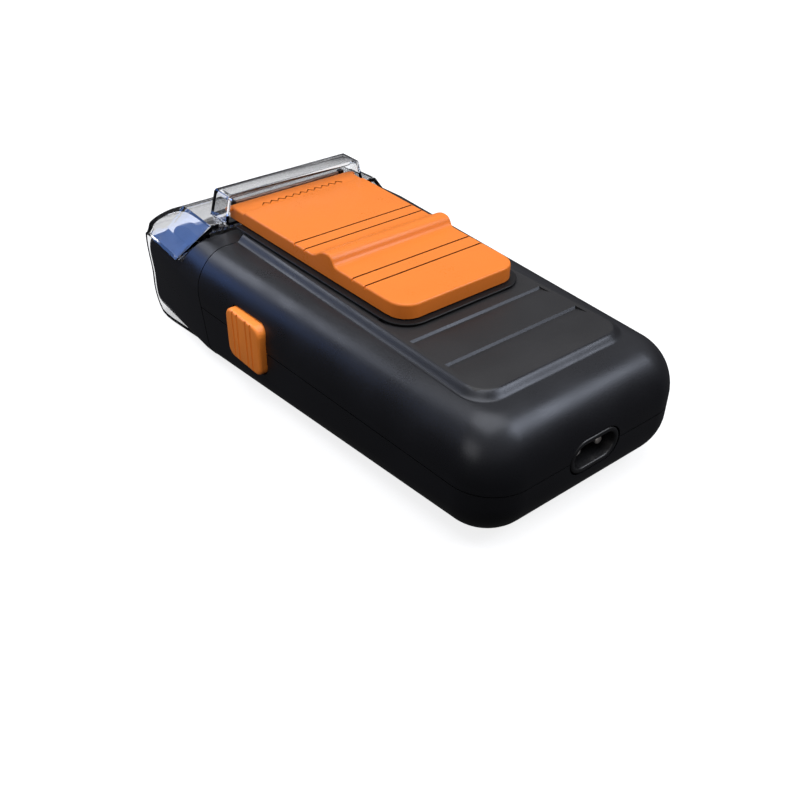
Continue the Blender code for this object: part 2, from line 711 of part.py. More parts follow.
def build_inside(mats, parts, tools):
    """Chassis, cells, board and motor."""
    floor = WALL + GAP
    top = floor + CHASSIS_H
    chassis = box("chassis", (-CHASSIS_HALF, CHASSIS_HALF), (CHASSIS_Y0, CHASSIS_Y1),
                  (floor, top), mats["grey"], parts)
    well = box("cut_chassis_well", (-CHASSIS_HALF + CHASSIS_T, CHASSIS_HALF - CHASSIS_T),
               (CHASSIS_Y0 + CHASSIS_T, CHASSIS_Y1 - CHASSIS_T),
               (floor + CHASSIS_T, top + MM), None, tools)
    boolean(chassis, well)
    saddle = box("add_motor_saddle", (-MOTOR_R * 0.7, MOTOR_R * 0.7),
                 (MOTOR_Y0 + 3 * MM, MOTOR_Y1 - 3 * MM), (floor + CHASSIS_T / 2, AXIS_Z - 4 * MM),
                 None, tools)
    boolean(chassis, saddle, "UNION")
    for side, tag in ((-1, "left"), (1, "right")):
        xs = sorted((side * (CHASSIS_HALF - CHASSIS_T / 2), side * SEAT_HALF))
        seat = box("add_spring_seat_%s" % tag, xs, (BUTTON_Y - 4 * MM, BUTTON_Y + 4 * MM),
                   (floor + 5 * MM, PART_Z + 3.5 * MM), None, tools)
        boolean(chassis, seat, "UNION")
    cradle = cylinder("cut_motor_cradle", (0, MOTOR_Y0, AXIS_Z), (0, MOTOR_Y1 + GAP, AXIS_Z),
                      MOTOR_R + GAP, None, tools)
    boolean(chassis, cradle)
    front = cylinder("cut_chassis_front", (0, MOTOR_Y1 - MM, AXIS_Z), (0, CHASSIS_Y1 + MM, AXIS_Z),
                     MOTOR_R - 2 * MM, None, tools)
    boolean(chassis, front)
    cell_z = floor + CHASSIS_T + GAP + BATTERY_R
    for side, tag in ((-1, "left"), (1, "right")):
        cylinder("battery_cell_%s" % tag, (side * BATTERY_X, BATTERY_Y0, cell_z),
                 (side * BATTERY_X, BATTERY_Y1, cell_z), BATTERY_R, mats["cell"], parts)
    board_z = top + GAP
    board = box("circuit_board", (-CHASSIS_HALF, CHASSIS_HALF), (CHASSIS_Y0, BATTERY_Y1),
                (board_z, board_z + BOARD_T), mats["board"], parts)
    for number in range(3):
        x = (number - 1) * 9 * MM
        y = -36 * MM + number * 9 * MM
        chip = box("add_chip_%d" % (number + 1), (x - 3 * MM, x + 3 * MM), (y - 3 * MM, y + 3 * MM),
                   (board_z + BOARD_T / 2, board_z + BOARD_T + 2 * MM), None, tools)
        boolean(board, chip, "UNION")
    can = cylinder("motor_can", (0, MOTOR_Y0, AXIS_Z), (0, MOTOR_Y1, AXIS_Z), MOTOR_R,
                   mats["steel"], parts)
    bore = cylinder("cut_motor_bore", (0, MOTOR_Y0 + 2 * MM, AXIS_Z), (0, MOTOR_Y1 + MM, AXIS_Z),
                    SHAFT_R + MOVE_GAP, None, tools)
    boolean(can, bore)


def build_drive(mats, parts, tools):
    """Motor shaft with its eccentric, and the yoke that swings the cutter."""
    shaft = cylinder("motor_shaft", (0, MOTOR_Y0 + 4 * MM, AXIS_Z), (0, ECC_Y0 + MM, AXIS_Z),
                     SHAFT_R, mats["steel"], parts, segments=16)
    cam = cylinder("add_eccentric", (0, ECC_Y0, AXIS_Z), (0, ECC_Y0 + 3 * MM, AXIS_Z),
                   ECC_DISC_R, None, tools, segments=20)
    pin = cylinder("add_eccentric_pin", (0, ECC_Y0 + 2 * MM, AXIS_Z + ECC_OFF),
                   (0, YOKE_Y + YOKE_T + MM, AXIS_Z + ECC_OFF), ECC_R, None, tools, segments=16)
    boolean(shaft, cam, "UNION")
    boolean(shaft, pin, "UNION")
    yoke = box("drive_yoke", (-YOKE_HALF, YOKE_HALF), (YOKE_Y, YOKE_Y + YOKE_T),
               (AXIS_Z - 5 * MM, AXIS_Z + 5 * MM), mats["white"], parts)
    reach = ECC_OFF + ECC_R + MOVE_GAP
    sweep = reach + CUT_SWING
    window = box("cut_yoke_window", (-sweep, sweep), (YOKE_Y - MM, YOKE_Y + YOKE_T + MM),
                 (AXIS_Z - reach, AXIS_Z + reach), None, tools)
    arm = box("add_yoke_arm", (-YOKE_HALF, YOKE_HALF), (YOKE_Y + YOKE_T / 2, CARRIER_Y0 - GAP),
              (AXIS_Z + 2.9 * MM, AXIS_Z + 5 * MM), None, tools)
    boolean(yoke, window)
    boolean(yoke, arm, "UNION")


def build_bulkhead(mats, parts, tools):
    """Plate closing the front of the body, open where the yoke comes through."""
    plate = box("front_bulkhead", (-BULK_HALF, BULK_HALF), (JOINT_Y - BULK_T - GAP, JOINT_Y - GAP),
                (WALL + GAP, BULK_Z1), mats["grey"], parts)
    reach = YOKE_HALF + CUT_SWING + MOVE_GAP
    window = box("cut_bulkhead", (-reach, reach), (JOINT_Y - 3 * BULK_T, JOINT_Y + BULK_T),
                 (AXIS_Z - 6 * MM, AXIS_Z + 6 * MM), None, tools)
    boolean(plate, window)


def d_section(radius):
    """Side view of the cutter: an arc closed by a chord facing the carrier."""
    spread = math.degrees(math.acos(BLADE_CHORD / radius))
    return arc(FOIL_Y, FOIL_Z, radius, BLADE_MID - spread, BLADE_MID + spread, 10)


def build_cutter(mats, parts, tools):
    """Carrier and the row of arched cutting blades under the foil."""
    radius = FOIL_R - FOIL_T - 0.2 * MM
    hub = radius - 2.2 * MM
    half = FOIL_HALF - CUT_SWING - 1.6 * MM
    pitch = 2 * half / (BLADE_COUNT - 0.6)
    rings = []
    for index in range(BLADE_COUNT):
        x = -half + index * pitch
        for offset, reach in ((0.0, radius), (0.4, radius), (0.42, hub), (0.98, hub)):
            rings.append([Vector((x + offset * pitch, y, z)) for y, z in d_section(reach)])
    loft("cutter_blades", rings[:-2], mats["steel"], parts)
    turn = math.radians(BLADE_MID)
    back = BLADE_CHORD - GAP
    foot = FOIL_Y + (back - (CARRIER_Z0 - FOIL_Z) * math.sin(turn)) / math.cos(turn)
    head = FOIL_Y + (back - (CARRIER_Z1 - FOIL_Z) * math.sin(turn)) / math.cos(turn)
    outline = ((CARRIER_Y0, CARRIER_Z0), (foot, CARRIER_Z0), (head, CARRIER_Z1),
               (CARRIER_Y0, CARRIER_Z1))
    prism("cutter_carrier", outline, (-half, half), mats["white"], parts)


def build_foil(mats, parts, tools):
    """Arched foil and the frame that stretches it."""
    outline = arc(FOIL_Y, FOIL_Z, FOIL_R, FOIL_START, FOIL_STOP, 14)
    outline += arc(FOIL_Y, FOIL_Z, FOIL_R - FOIL_T, FOIL_STOP, FOIL_START, 14)
    prism("shaving_foil", outline, (-FOIL_HALF, FOIL_HALF), mats["foil"], parts)
    outer = CHEEK_IN - GAP
    bar = FOIL_Y + FOIL_R * math.cos(math.radians(FOIL_START))
    sill = FOIL_Z + FOIL_R * math.sin(math.radians(FOIL_START)) - GAP
    frame = box("foil_frame", (-outer, outer), (bar - 2.4 * MM, bar + 1.6 * MM),
                (sill - 2.2 * MM, sill), mats["body"], parts)
    side_view = arc(FOIL_Y, FOIL_Z, FOIL_R + 0.6 * MM, -70, 90, 12)
    side_view += [(FOIL_Y - 6 * MM, FOIL_Z + FOIL_R + 0.6 * MM),
                  (FOIL_Y - 6 * MM, sill - 2.2 * MM)]
    for side, tag in ((-1, "left"), (1, "right")):
        xs = sorted((side * (outer - FRAME_T), side * outer))
        plate = prism("add_frame_%s" % tag, side_view, xs, None, tools)
        boolean(frame, plate, "UNION")
    lintel = box("add_frame_lintel", (-outer + MM, outer - MM),
                 (FOIL_Y - 3.2 * MM, FOIL_Y - GAP),
                 (FOIL_Z + FOIL_R - FOIL_T, FOIL_Z + FOIL_R + 0.5 * MM), None, tools)
    boolean(frame, lintel, "UNION")


def nose_path():
    """Side view of the closed cap, from its rear lip round to its top edge."""
    path = [(CAP_REAR_Y, 0.0)]
    path += [(NOSE_Y + y * MM, z * MM) for y, z in NOSE_LOW]
    path += [(NOSE_Y - NOSE_RIM_IN, CAP_RIM_Z)]
    path += [(NOSE_Y + y * MM, CAP_TOP_Z + z * MM) for y, z in NOSE_HIGH]
    return path + [(CAP_TOP_Y, CAP_TOP_Z)]


def offset_path(path, distance):
    """Draw an open side-view path in towards the inside of the cap."""
    moved = []
    for index, (y, z) in enumerate(path):
        y0, z0 = path[max(index - 1, 0)]
        y1, z1 = path[min(index + 1, len(path) - 1)]
        run = math.hypot(y1 - y0, z1 - z0)
        moved.append((y - distance * (z1 - z0) / run, z + distance * (y1 - y0) / run))
    return moved


def facet_inset(z):
    """How far the slanting facet has leaned inwards at one height."""
    rise = min(max((z - CAP_RIM_Z) / (CAP_FACET_Z - CAP_RIM_Z), 0.0), 1.0)
    return CAP_FACET_IN * max(rise ** CAP_FACET_EASE, CAP_FACET_MIN)


def cap_rows(path, draw):
    """Rows of four points across the cap; above the rim the outer two hang down."""
    rows = []
    for y, z in path:
        above = z > CAP_RIM_Z
        place = max(y, CAP_HIP_Y) if above else y
        edge = head_half(y) - (draw if above else 0.0)
        rim = CAP_RIM_Z if above else z
        row = [Vector((-edge, place, rim)), Vector((-head_half(y) + draw + facet_inset(z), y, z))]
        rows.append(row + [Vector((-p.x, p.y, p.z)) for p in reversed(row)])
    return rows


def build_cap(mats, parts, tools):
    """Clear cap: nose wall, underside, slanting facets, top and trimmer guard."""
    path = nose_path()
    bm = bmesh.new()
    outer = [[bm.verts.new(p) for p in row] for row in cap_rows(path, 0.0)]
    inner = [[bm.verts.new(p) for p in row]
             for row in cap_rows(offset_path(path, CAP_WALL), CAP_WALL)]
    for rows, flip in ((outer, False), (inner, True)):
        for low, high in zip(rows, rows[1:]):
            for i in range(3):
                face = (low[i], low[i + 1], high[i + 1], high[i])
                bm.faces.new(tuple(reversed(face)) if flip else face)
    border = [row[0] for row in outer] + outer[-1][1:] + [row[3] for row in outer[-2::-1]]
    border += outer[0][2:0:-1]
    partner = [row[0] for row in inner] + inner[-1][1:] + [row[3] for row in inner[-2::-1]]
    partner += inner[0][2:0:-1]
    for i in range(len(border)):
        j = (i + 1) % len(border)
        bm.faces.new((border[i], border[j], partner[j], partner[i]))
    cap = make_object("clear_cap", bm, mats["clear"], parts)
    guard = loft("add_guard", guard_rings(0.0, GUARD_Y0, GUARD_Y1, GUARD_FOOT_Z,
                                          GUARD_TOP_Z), None, tools)
    hollow = loft("cut_guard", guard_rings(-GUARD_WALL, GUARD_Y0 - 3 * MM, GUARD_Y1 - GUARD_WALL,
                                           GUARD_FOOT_Z - OVER, GUARD_TOP_Z - GUARD_WALL),
                  None, tools)
    boolean(cap, guard, "UNION")
    boolean(cap, hollow)


def guard_rings(grow, near, far, low, high):
    """Loops of the trimmer guard box, splayed a little towards its foot."""
    rings = []
    for z, drop in ((low, 0.0), (high - GUARD_EDGE, 0.0), (high, GUARD_EDGE)):
        splay = GUARD_SPLAY * (GUARD_TOP_Z - z) / (GUARD_TOP_Z - GUARD_FOOT_Z)
        half = GUARD_HALF + grow + splay - drop
        back = far + splay * 0.4 - drop
        rings.append([Vector((-half, near, z)), Vector((half, near, z)),
                      Vector((half, back, z)), Vector((-half, back, z))])
    return rings


def collar_section(y_front, lean):
    """Loop round the whole body section, leaning back above the cap rim."""
    half = head_half(y_front)
    points = []
    for step in range(ARC_SEG + 1):
        turn = math.pi / 2 * (1 - step / ARC_SEG)
        points.append((half - BOTTOM_HEAD * (1 - math.cos(turn)),
                       BOTTOM_HEAD * (1 - math.sin(turn))))
    start = SHOULDER_Z - SHOULDER_DOWN
    for step in range(ARC_SEG + 1):
        turn = math.pi / 2 * step / ARC_SEG
        points.append((half - SHOULDER_IN * (1 - math.cos(turn)),
                       start + SHOULDER_DOWN * math.sin(turn)))
    points += [(-x, z) for x, z in reversed(points)]
    return [Vector((x, y_front - lean * max(z - CAP_RIM_Z, 0.0)
                    - (y_front - CAP_REAR_Y) * lean_foot(z, lean), z)) for x, z in points]


def lean_foot(z, lean):
    """Share of the step back that keeps the collar clear of the cap's lower lip."""
    if not lean:
        return 0.0
    return 1.0 if z < CAP_WALL + GAP else 0.0


def build_head_frame(mats, parts, tools):
    """Black shaving-head housing: collar, two cheeks and a floor."""
    rings = [collar_section(JOINT_Y + GAP, 0.0), collar_section(COLLAR_Y, COLLAR_LEAN)]
    frame = loft("head_frame", rings, mats["body"], parts)
    cheek = cheek_path()
    across = [[Vector((side * (head_half(y) - CHEEK_STEP), y, z)) for y, z in cheek]
              for side in (-1, 1)]
    cheeks = loft("add_cheeks", across, None, tools)
    boolean(frame, cheeks, "UNION")
    under = box("cut_cap_lip", (-FAR, FAR), (CAP_REAR_Y - GAP, NOSE_Y + OVER),
                (-OVER, CAP_WALL + GAP), None, tools)
    boolean(frame, under)
    tunnel = box("cut_head_tunnel", (-CHEEK_IN, CHEEK_IN), (JOINT_Y - MM, NOSE_Y + OVER),
                 (HEAD_FLOOR_Z, FOIL_Z + FOIL_R + 0.9 * MM), None, tools)
    boolean(frame, tunnel)
    roof = box("cut_head_roof", (-CHEEK_IN, CHEEK_IN), (CAP_TOP_Y + GAP, NOSE_Y + OVER),
               (FOIL_Z, GUARD_TOP_Z), None, tools)
    boolean(frame, roof)


def cheek_path():
    """Side view of a cheek, drawn in from the cap by a small clearance."""
    inner = [(JOINT_Y + (y - JOINT_Y) * CHEEK_REACH, z)
             for y, z in offset_path(nose_path(), CAP_WALL + GAP) if z < CAP_RIM_Z - 2 * MM]
    top = CAP_RIM_Z - GAP
    return ([(JOINT_Y + 4 * MM, inner[0][1])] + inner[1:]
            + [(inner[-1][0], top), (JOINT_Y + 4 * MM, top)])


def main():
    """Build every piece of the shaver."""
    clear_scene()
    parts = make_collection(SHAVER)
    tools = make_collection("Cutters")
    mats = {
        "body": finish("black_plastic", (0.035, 0.036, 0.042), 0.35),
        "orange": finish("orange_plastic", (0.83, 0.27, 0.045), 0.4),
        "grey": finish("grey_plastic", (0.12, 0.12, 0.13), 0.5),
        "white": finish("white_plastic", (0.75, 0.75, 0.72), 0.45),
        "steel": finish("bright_steel", (0.62, 0.62, 0.62), 0.25, 1.0),
        "foil": finish("foil_steel", (0.55, 0.55, 0.53), 0.3, 1.0),
        "bronze": finish("bronze_bar", (0.35, 0.22, 0.15), 0.35, 0.8),
        "brass": finish("pin_brass", (0.70, 0.55, 0.30), 0.3, 1.0),
        "cell": finish("cell_wrap", (0.10, 0.30, 0.42), 0.4),
        "board": finish("board_green", (0.05, 0.22, 0.10), 0.5),
        "clear": finish("clear_plastic", (0.85, 0.88, 0.90), 0.08, 0.0, 0.35),
    }
    upper = build_upper_shell(mats, parts, tools)
    lower = build_lower_shell(mats, parts, tools)
    build_posts(upper, tools)
    build_screws(mats, parts, tools, lower)
    build_inlet(mats, parts, tools, upper, lower)
    for side in (-1, 1):
        build_button(side, mats, parts, tools, upper, lower)
    build_inside(mats, parts, tools)
    build_bulkhead(mats, parts, tools)
    build_drive(mats, parts, tools)
    build_slide(mats, parts, tools)
    build_slide_plate(mats, parts, tools)
    build_trimmer(mats, parts, tools)
    build_cutter(mats, parts, tools)
    build_foil(mats, parts, tools)
    build_head_frame(mats, parts, tools)
    build_cap(mats, parts, tools)
    for item in tools.objects:
        item.hide_render = True
        item.display_type = "WIRE"


main()
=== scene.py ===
"""Detailed visual model of a compact foil shaver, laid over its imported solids.

+Z is up, +Y runs from the charging end to the shaving head and X is the width.
All lengths are metres.  Every moving piece rides on its own body of the frame.
"""

import json
import logging
import math
from dataclasses import dataclass, field
from enum import Enum
from typing import Callable, Iterable, Sequence

import bmesh
import bpy
from mathutils import Matrix, Vector

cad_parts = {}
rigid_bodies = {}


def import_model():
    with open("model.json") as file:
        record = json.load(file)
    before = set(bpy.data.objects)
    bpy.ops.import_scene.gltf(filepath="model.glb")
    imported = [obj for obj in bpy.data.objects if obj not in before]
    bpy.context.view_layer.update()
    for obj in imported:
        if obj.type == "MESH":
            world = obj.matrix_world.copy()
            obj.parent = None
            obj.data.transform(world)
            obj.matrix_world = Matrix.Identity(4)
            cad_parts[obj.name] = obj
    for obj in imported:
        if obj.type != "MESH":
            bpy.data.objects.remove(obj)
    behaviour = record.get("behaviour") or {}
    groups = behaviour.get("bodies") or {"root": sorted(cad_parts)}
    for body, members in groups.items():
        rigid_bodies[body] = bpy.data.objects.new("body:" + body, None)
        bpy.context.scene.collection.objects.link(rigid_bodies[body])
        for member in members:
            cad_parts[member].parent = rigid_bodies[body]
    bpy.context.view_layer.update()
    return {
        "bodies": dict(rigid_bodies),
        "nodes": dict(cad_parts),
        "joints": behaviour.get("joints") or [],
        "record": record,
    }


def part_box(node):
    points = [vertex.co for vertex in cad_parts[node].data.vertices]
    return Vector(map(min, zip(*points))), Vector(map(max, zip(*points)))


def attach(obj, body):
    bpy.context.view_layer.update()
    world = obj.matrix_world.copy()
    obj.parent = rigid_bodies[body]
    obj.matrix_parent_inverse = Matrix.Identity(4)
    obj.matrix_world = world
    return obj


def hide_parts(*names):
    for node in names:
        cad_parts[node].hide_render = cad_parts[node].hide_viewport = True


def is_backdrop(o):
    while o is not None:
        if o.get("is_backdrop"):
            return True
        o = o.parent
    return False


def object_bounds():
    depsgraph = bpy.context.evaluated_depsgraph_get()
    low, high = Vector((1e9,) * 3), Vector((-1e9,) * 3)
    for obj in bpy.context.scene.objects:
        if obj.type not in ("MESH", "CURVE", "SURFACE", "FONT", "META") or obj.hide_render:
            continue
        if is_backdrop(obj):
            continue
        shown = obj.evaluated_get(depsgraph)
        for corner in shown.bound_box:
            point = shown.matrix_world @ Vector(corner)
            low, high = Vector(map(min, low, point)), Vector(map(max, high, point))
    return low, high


MM = 0.001
LOG = logging.getLogger("shaver")
Point2 = tuple[float, float]
Ring = list[Vector]


class Grain(Enum):
    """Kinds of surface the finishes can have."""

    SATIN = "satin"
    GLOSS = "gloss"
    BRUSHED = "brushed"
    FOIL = "foil"
    CLEAR = "clear"


@dataclass(frozen=True)
class Finish:
    """One procedural material, described by its real surface."""

    name: str
    colour: tuple[float, float, float]
    roughness: float
    grain: Grain = Grain.SATIN
    metallic: float = 0.0
    specular: float = 0.5
    tint: tuple[float, float, float] = (1.0, 1.0, 1.0)
    grain_size: float = 0.35 * MM
    bump: float = 0.012 * MM
    patch: float = 0.05
    wear: float = 0.0
    rough_span: float = 0.08
    coat: float = 0.0
    glow: float = 0.0
    stretch: tuple[float, float, float] = (1.0, 1.0, 1.0)

    def material(self) -> bpy.types.Material:
        """Build the node tree.

        Returns:
            The finished material.
        """
        mat = bpy.data.materials.new(self.name)
        mat.use_nodes = True
        tree = mat.node_tree
        shader = tree.nodes["Principled BSDF"]
        shader.inputs["Metallic"].default_value = self.metallic
        shader.inputs["Specular IOR Level"].default_value = self.specular
        shader.inputs["Specular Tint"].default_value = (*self.tint, 1.0)
        shader.inputs["Coat Weight"].default_value = self.coat
        shader.inputs["Coat Roughness"].default_value = 0.15
        shader.inputs["Emission Color"].default_value = (1.0, 1.0, 1.0, 1.0)
        shader.inputs["Emission Strength"].default_value = self.glow
        if self.grain is Grain.CLEAR:
            shader.inputs["Transmission Weight"].default_value = 1.0
            shader.inputs["IOR"].default_value = 1.46
        where = self._place(tree)
        fine = self._noise(tree, where, 1.0 / self.grain_size, 3.0)
        broad = self._noise(tree, where, 1.0 / (14 * MM), 2.0)
        self._link_colour(tree, shader, broad)
        self._link_roughness(tree, shader, fine, broad)
        self._link_bump(tree, shader, fine, where)
        mat.diffuse_color = (*self.colour, 1.0)
        return mat

    def _place(self, tree: bpy.types.NodeTree) -> bpy.types.NodeSocket:
        """Object coordinates, stretched along the grain."""
        coords = tree.nodes.new("ShaderNodeTexCoord")
        mapping = tree.nodes.new("ShaderNodeMapping")
        mapping.inputs["Scale"].default_value = self.stretch
        tree.links.new(coords.outputs["Object"], mapping.inputs["Vector"])
        return mapping.outputs["Vector"]

    def _noise(self, tree: bpy.types.NodeTree, where: bpy.types.NodeSocket,
               scale: float, detail: float) -> bpy.types.NodeSocket:
        """One noise texture.

        Args:
            tree: the material's tree.
            where: coordinates to read.
            scale: features for each metre.
            detail: octaves of finer noise.

        Returns:
            The noise value's socket.
        """
        noise = tree.nodes.new("ShaderNodeTexNoise")
        noise.inputs["Scale"].default_value = scale
        noise.inputs["Detail"].default_value = detail
        tree.links.new(where, noise.inputs["Vector"])
        return noise.outputs["Fac"]

    def _link_colour(self, tree: bpy.types.NodeTree, shader: bpy.types.Node,
                     broad: bpy.types.NodeSocket) -> None:
        """Patchy colour, paler where an edge is worn.

        Args:
            tree: the material's tree.
            shader: its Principled shader.
            broad: large soft noise.
        """
        low = tuple(c * (1.0 - self.patch) for c in self.colour)
        high = tuple(min(c * (1.0 + self.patch), 1.0) for c in self.colour)
        ramp = tree.nodes.new("ShaderNodeValToRGB")
        ramp.color_ramp.elements[0].position = 0.35
        ramp.color_ramp.elements[1].position = 0.65
        ramp.color_ramp.elements[0].color = (*low, 1.0)
        ramp.color_ramp.elements[1].color = (*high, 1.0)
        tree.links.new(broad, ramp.inputs["Fac"])
        if not self.wear:
            tree.links.new(ramp.outputs["Color"], shader.inputs["Base Color"])
            return
        shape = tree.nodes.new("ShaderNodeNewGeometry")
        edge = tree.nodes.new("ShaderNodeMapRange")
        edge.inputs["From Min"].default_value = 0.52
        edge.inputs["From Max"].default_value = 0.62
        edge.inputs["To Max"].default_value = self.wear
        worn = tree.nodes.new("ShaderNodeMix")
        worn.data_type = "RGBA"
        pale = tuple(min(c * 1.5 + 0.05, 1.0) for c in self.colour)
        worn.inputs["B"].default_value = (*pale, 1.0)
        tree.links.new(shape.outputs["Pointiness"], edge.inputs["Value"])
        tree.links.new(edge.outputs["Result"], worn.inputs["Factor"])
        tree.links.new(ramp.outputs["Color"], worn.inputs["A"])
        tree.links.new(worn.outputs["Result"], shader.inputs["Base Color"])

    def _link_roughness(self, tree: bpy.types.NodeTree, shader: bpy.types.Node,
                        fine: bpy.types.NodeSocket, broad: bpy.types.NodeSocket) -> None:
        """Roughness that drifts with both noises.

        Args:
            tree: the material's tree.
            shader: its Principled shader.
            fine: grain noise.
            broad: large soft noise.
        """
        both = tree.nodes.new("ShaderNodeMath")
        both.operation = "ADD"
        span = tree.nodes.new("ShaderNodeMapRange")
        span.inputs["From Min"].default_value = 0.7
        span.inputs["From Max"].default_value = 1.3
        span.inputs["To Min"].default_value = max(self.roughness - self.rough_span, 0.0)
        span.inputs["To Max"].default_value = min(self.roughness + self.rough_span, 1.0)
        tree.links.new(fine, both.inputs[0])
        tree.links.new(broad, both.inputs[1])
        tree.links.new(both.outputs["Value"], span.inputs["Value"])
        tree.links.new(span.outputs["Result"], shader.inputs["Roughness"])

    def _link_bump(self, tree: bpy.types.NodeTree, shader: bpy.types.Node,
                   fine: bpy.types.NodeSocket, where: bpy.types.NodeSocket) -> None:
        """Raise the grain, or the cells of a foil.

        Args:
            tree: the material's tree.
            shader: its Principled shader.
            fine: grain noise.
            where: coordinates to read.
        """
        height = fine
        if self.grain is Grain.FOIL:
            cells = tree.nodes.new("ShaderNodeTexVoronoi")
            cells.feature = "DISTANCE_TO_EDGE"
            cells.inputs["Scale"].default_value = 1.0 / self.grain_size
            cells.inputs["Randomness"].default_value = 0.25
            tree.links.new(where, cells.inputs["Vector"])
            height = cells.outputs["Distance"]
        bump = tree.nodes.new("ShaderNodeBump")
        bump.inputs["Distance"].default_value = self.bump
        bump.inputs["Strength"].default_value = 0.6
        tree.links.new(height, bump.inputs["Height"])
        tree.links.new(bump.outputs["Normal"], shader.inputs["Normal"])


class Forge:
    """Mesh helpers shared by the sub-assemblies."""

    @staticmethod
    def wrap(name: str, bm: bmesh.types.BMesh, crease: float = 35.0) -> bpy.types.Object:
        """Turn a bmesh into a shown object with outward, smooth faces.

        Args:
            name: the object's name.
            bm: the mesh, which is freed.
            crease: edges sharper than this many degrees stay sharp.

        Returns:
            The new object.
        """
        bmesh.ops.remove_doubles(bm, verts=bm.verts, dist=1e-6)
        bmesh.ops.recalc_face_normals(bm, faces=bm.faces)
        mesh = bpy.data.meshes.new(name)
        bm.to_mesh(mesh)
        bm.free()
        Forge.smooth(mesh, crease)
        obj = bpy.data.objects.new(name, mesh)
        bpy.context.scene.collection.objects.link(obj)
        return obj

    @staticmethod
    def smooth(mesh: bpy.types.Mesh, crease: float) -> None:
        """Shade a mesh smooth between its sharp edges."""
        mesh.shade_smooth()
        mesh.set_sharp_from_angle(angle=math.radians(crease))

    @staticmethod
    def loft(name: str, rings: Sequence[Ring], crease: float = 35.0,
             capped: bool = True) -> bpy.types.Object:
        """Skin equal closed loops.

        Args:
            name: the object's name.
            rings: loops of points in order.
            crease: sharp edge limit in degrees.
            capped: whether both ends are closed.

        Returns:
            The new object.
        """
        bm = bmesh.new()
        loops = [[bm.verts.new(p) for p in ring] for ring in rings]
        count = len(loops[0])
        for low, high in zip(loops, loops[1:]):
            for i in range(count):
                j = (i + 1) % count
                bm.faces.new((low[i], low[j], high[j], high[i]))
        if capped:
            bm.faces.new(list(reversed(loops[0])))
            bm.faces.new(loops[-1])
        return Forge.wrap(name, bm, crease)

    @staticmethod
    def block(name: str, low: Sequence[float], high: Sequence[float],
              bevel: float = 0.0, segments: int = 3) -> bpy.types.Object:
        """Make a block with rounded edges between two corners.

        Args:
            name: the object's name.
            low: lowest corner.
            high: highest corner.
            bevel: radius of its edges.
            segments: steps in each rounded edge.

        Returns:
            The new object.
        """
        a = Vector(low)
        b = Vector(high)
        bm = bmesh.new()
        size = b - a
        place = Matrix.Translation((a + b) / 2) @ Matrix.Diagonal((*size, 1.0))
        bmesh.ops.create_cube(bm, size=1.0, matrix=place)
        if bevel:
            bmesh.ops.bevel(bm, geom=bm.edges[:], offset=bevel, segments=segments,
                            affect="EDGES", profile=0.5)
        return Forge.wrap(name, bm)

    @staticmethod
    def bake(obj: bpy.types.Object, crease: float = 35.0) -> bpy.types.Object:
        """Apply every modifier of a piece into its mesh."""
        graph = bpy.context.evaluated_depsgraph_get()
        mesh = bpy.data.meshes.new_from_object(obj.evaluated_get(graph))
        obj.modifiers.clear()
        obj.data = mesh
        mesh.name = obj.name
        Forge.smooth(mesh, crease)
        return obj

    @staticmethod
    def combine(obj: bpy.types.Object, tool: bpy.types.Object,
                operation: str = "DIFFERENCE",
                crease: float = 35.0) -> bpy.types.Object:
        """Cut or join a piece with a helper, which is then removed.

        Args:
            obj: the piece.
            tool: the helper solid.
            operation: DIFFERENCE, UNION or INTERSECT.
            crease: sharp edge limit in degrees.

        Returns:
            The piece.
        """
        mod = obj.modifiers.new("Boolean", "BOOLEAN")
        mod.operation = operation
        mod.solver = "EXACT"
        mod.object = tool
        Forge.bake(obj, crease)
        bpy.data.objects.remove(tool, do_unlink=True)
        return obj

    @staticmethod
    def soften(obj: bpy.types.Object, width: float, segments: int = 2,
               angle: float = 40.0, crease: float = 35.0) -> bpy.types.Object:
        """Round the sharp edges of a piece.

        Args:
            obj: the piece.
            width: bevel width.
            segments: steps in each bevel.
            angle: edges sharper than this many degrees are rounded.
            crease: sharp edge limit afterwards.

        Returns:
            The piece.
        """
        mod = obj.modifiers.new("Bevel", "BEVEL")
        mod.width = width
        mod.segments = segments
        mod.limit_method = "ANGLE"
        mod.angle_limit = math.radians(angle)
        mod.use_clamp_overlap = True
        return Forge.bake(obj, crease)

    @staticmethod
    def join(first: bpy.types.Object, second: bpy.types.Object) -> bpy.types.Object:
        """Put the second mesh into the first object.

        Args:
            first: the object that stays.
            second: the object that goes.

        Returns:
            The first object.
        """
        bm = bmesh.new()
        bm.from_mesh(first.data)
        bm.from_mesh(second.data)
        held = list(first.data.materials)
        mesh = bpy.data.meshes.new(first.name)
        bm.to_mesh(mesh)
        bm.free()
        for mat in held:
            mesh.materials.append(mat)
        Forge.smooth(mesh, 35.0)
        first.data = mesh
        bpy.data.objects.remove(second, do_unlink=True)
        return first

    @staticmethod
    def rounded_rect(half_a: float, half_b: float, radius: float,
                     steps: int = 6) -> list[Point2]:
        """Loop of points round a rectangle with round corners."""
        points: list[Point2] = []
        for quarter, (sa, sb) in enumerate(((1, 1), (-1, 1), (-1, -1), (1, -1))):
            for step in range(steps + 1):
                turn = math.pi / 2 * (quarter + step / steps)
                points.append((sa * (half_a - radius) + radius * math.cos(turn),
                               sb * (half_b - radius) + radius * math.sin(turn)))
        return points

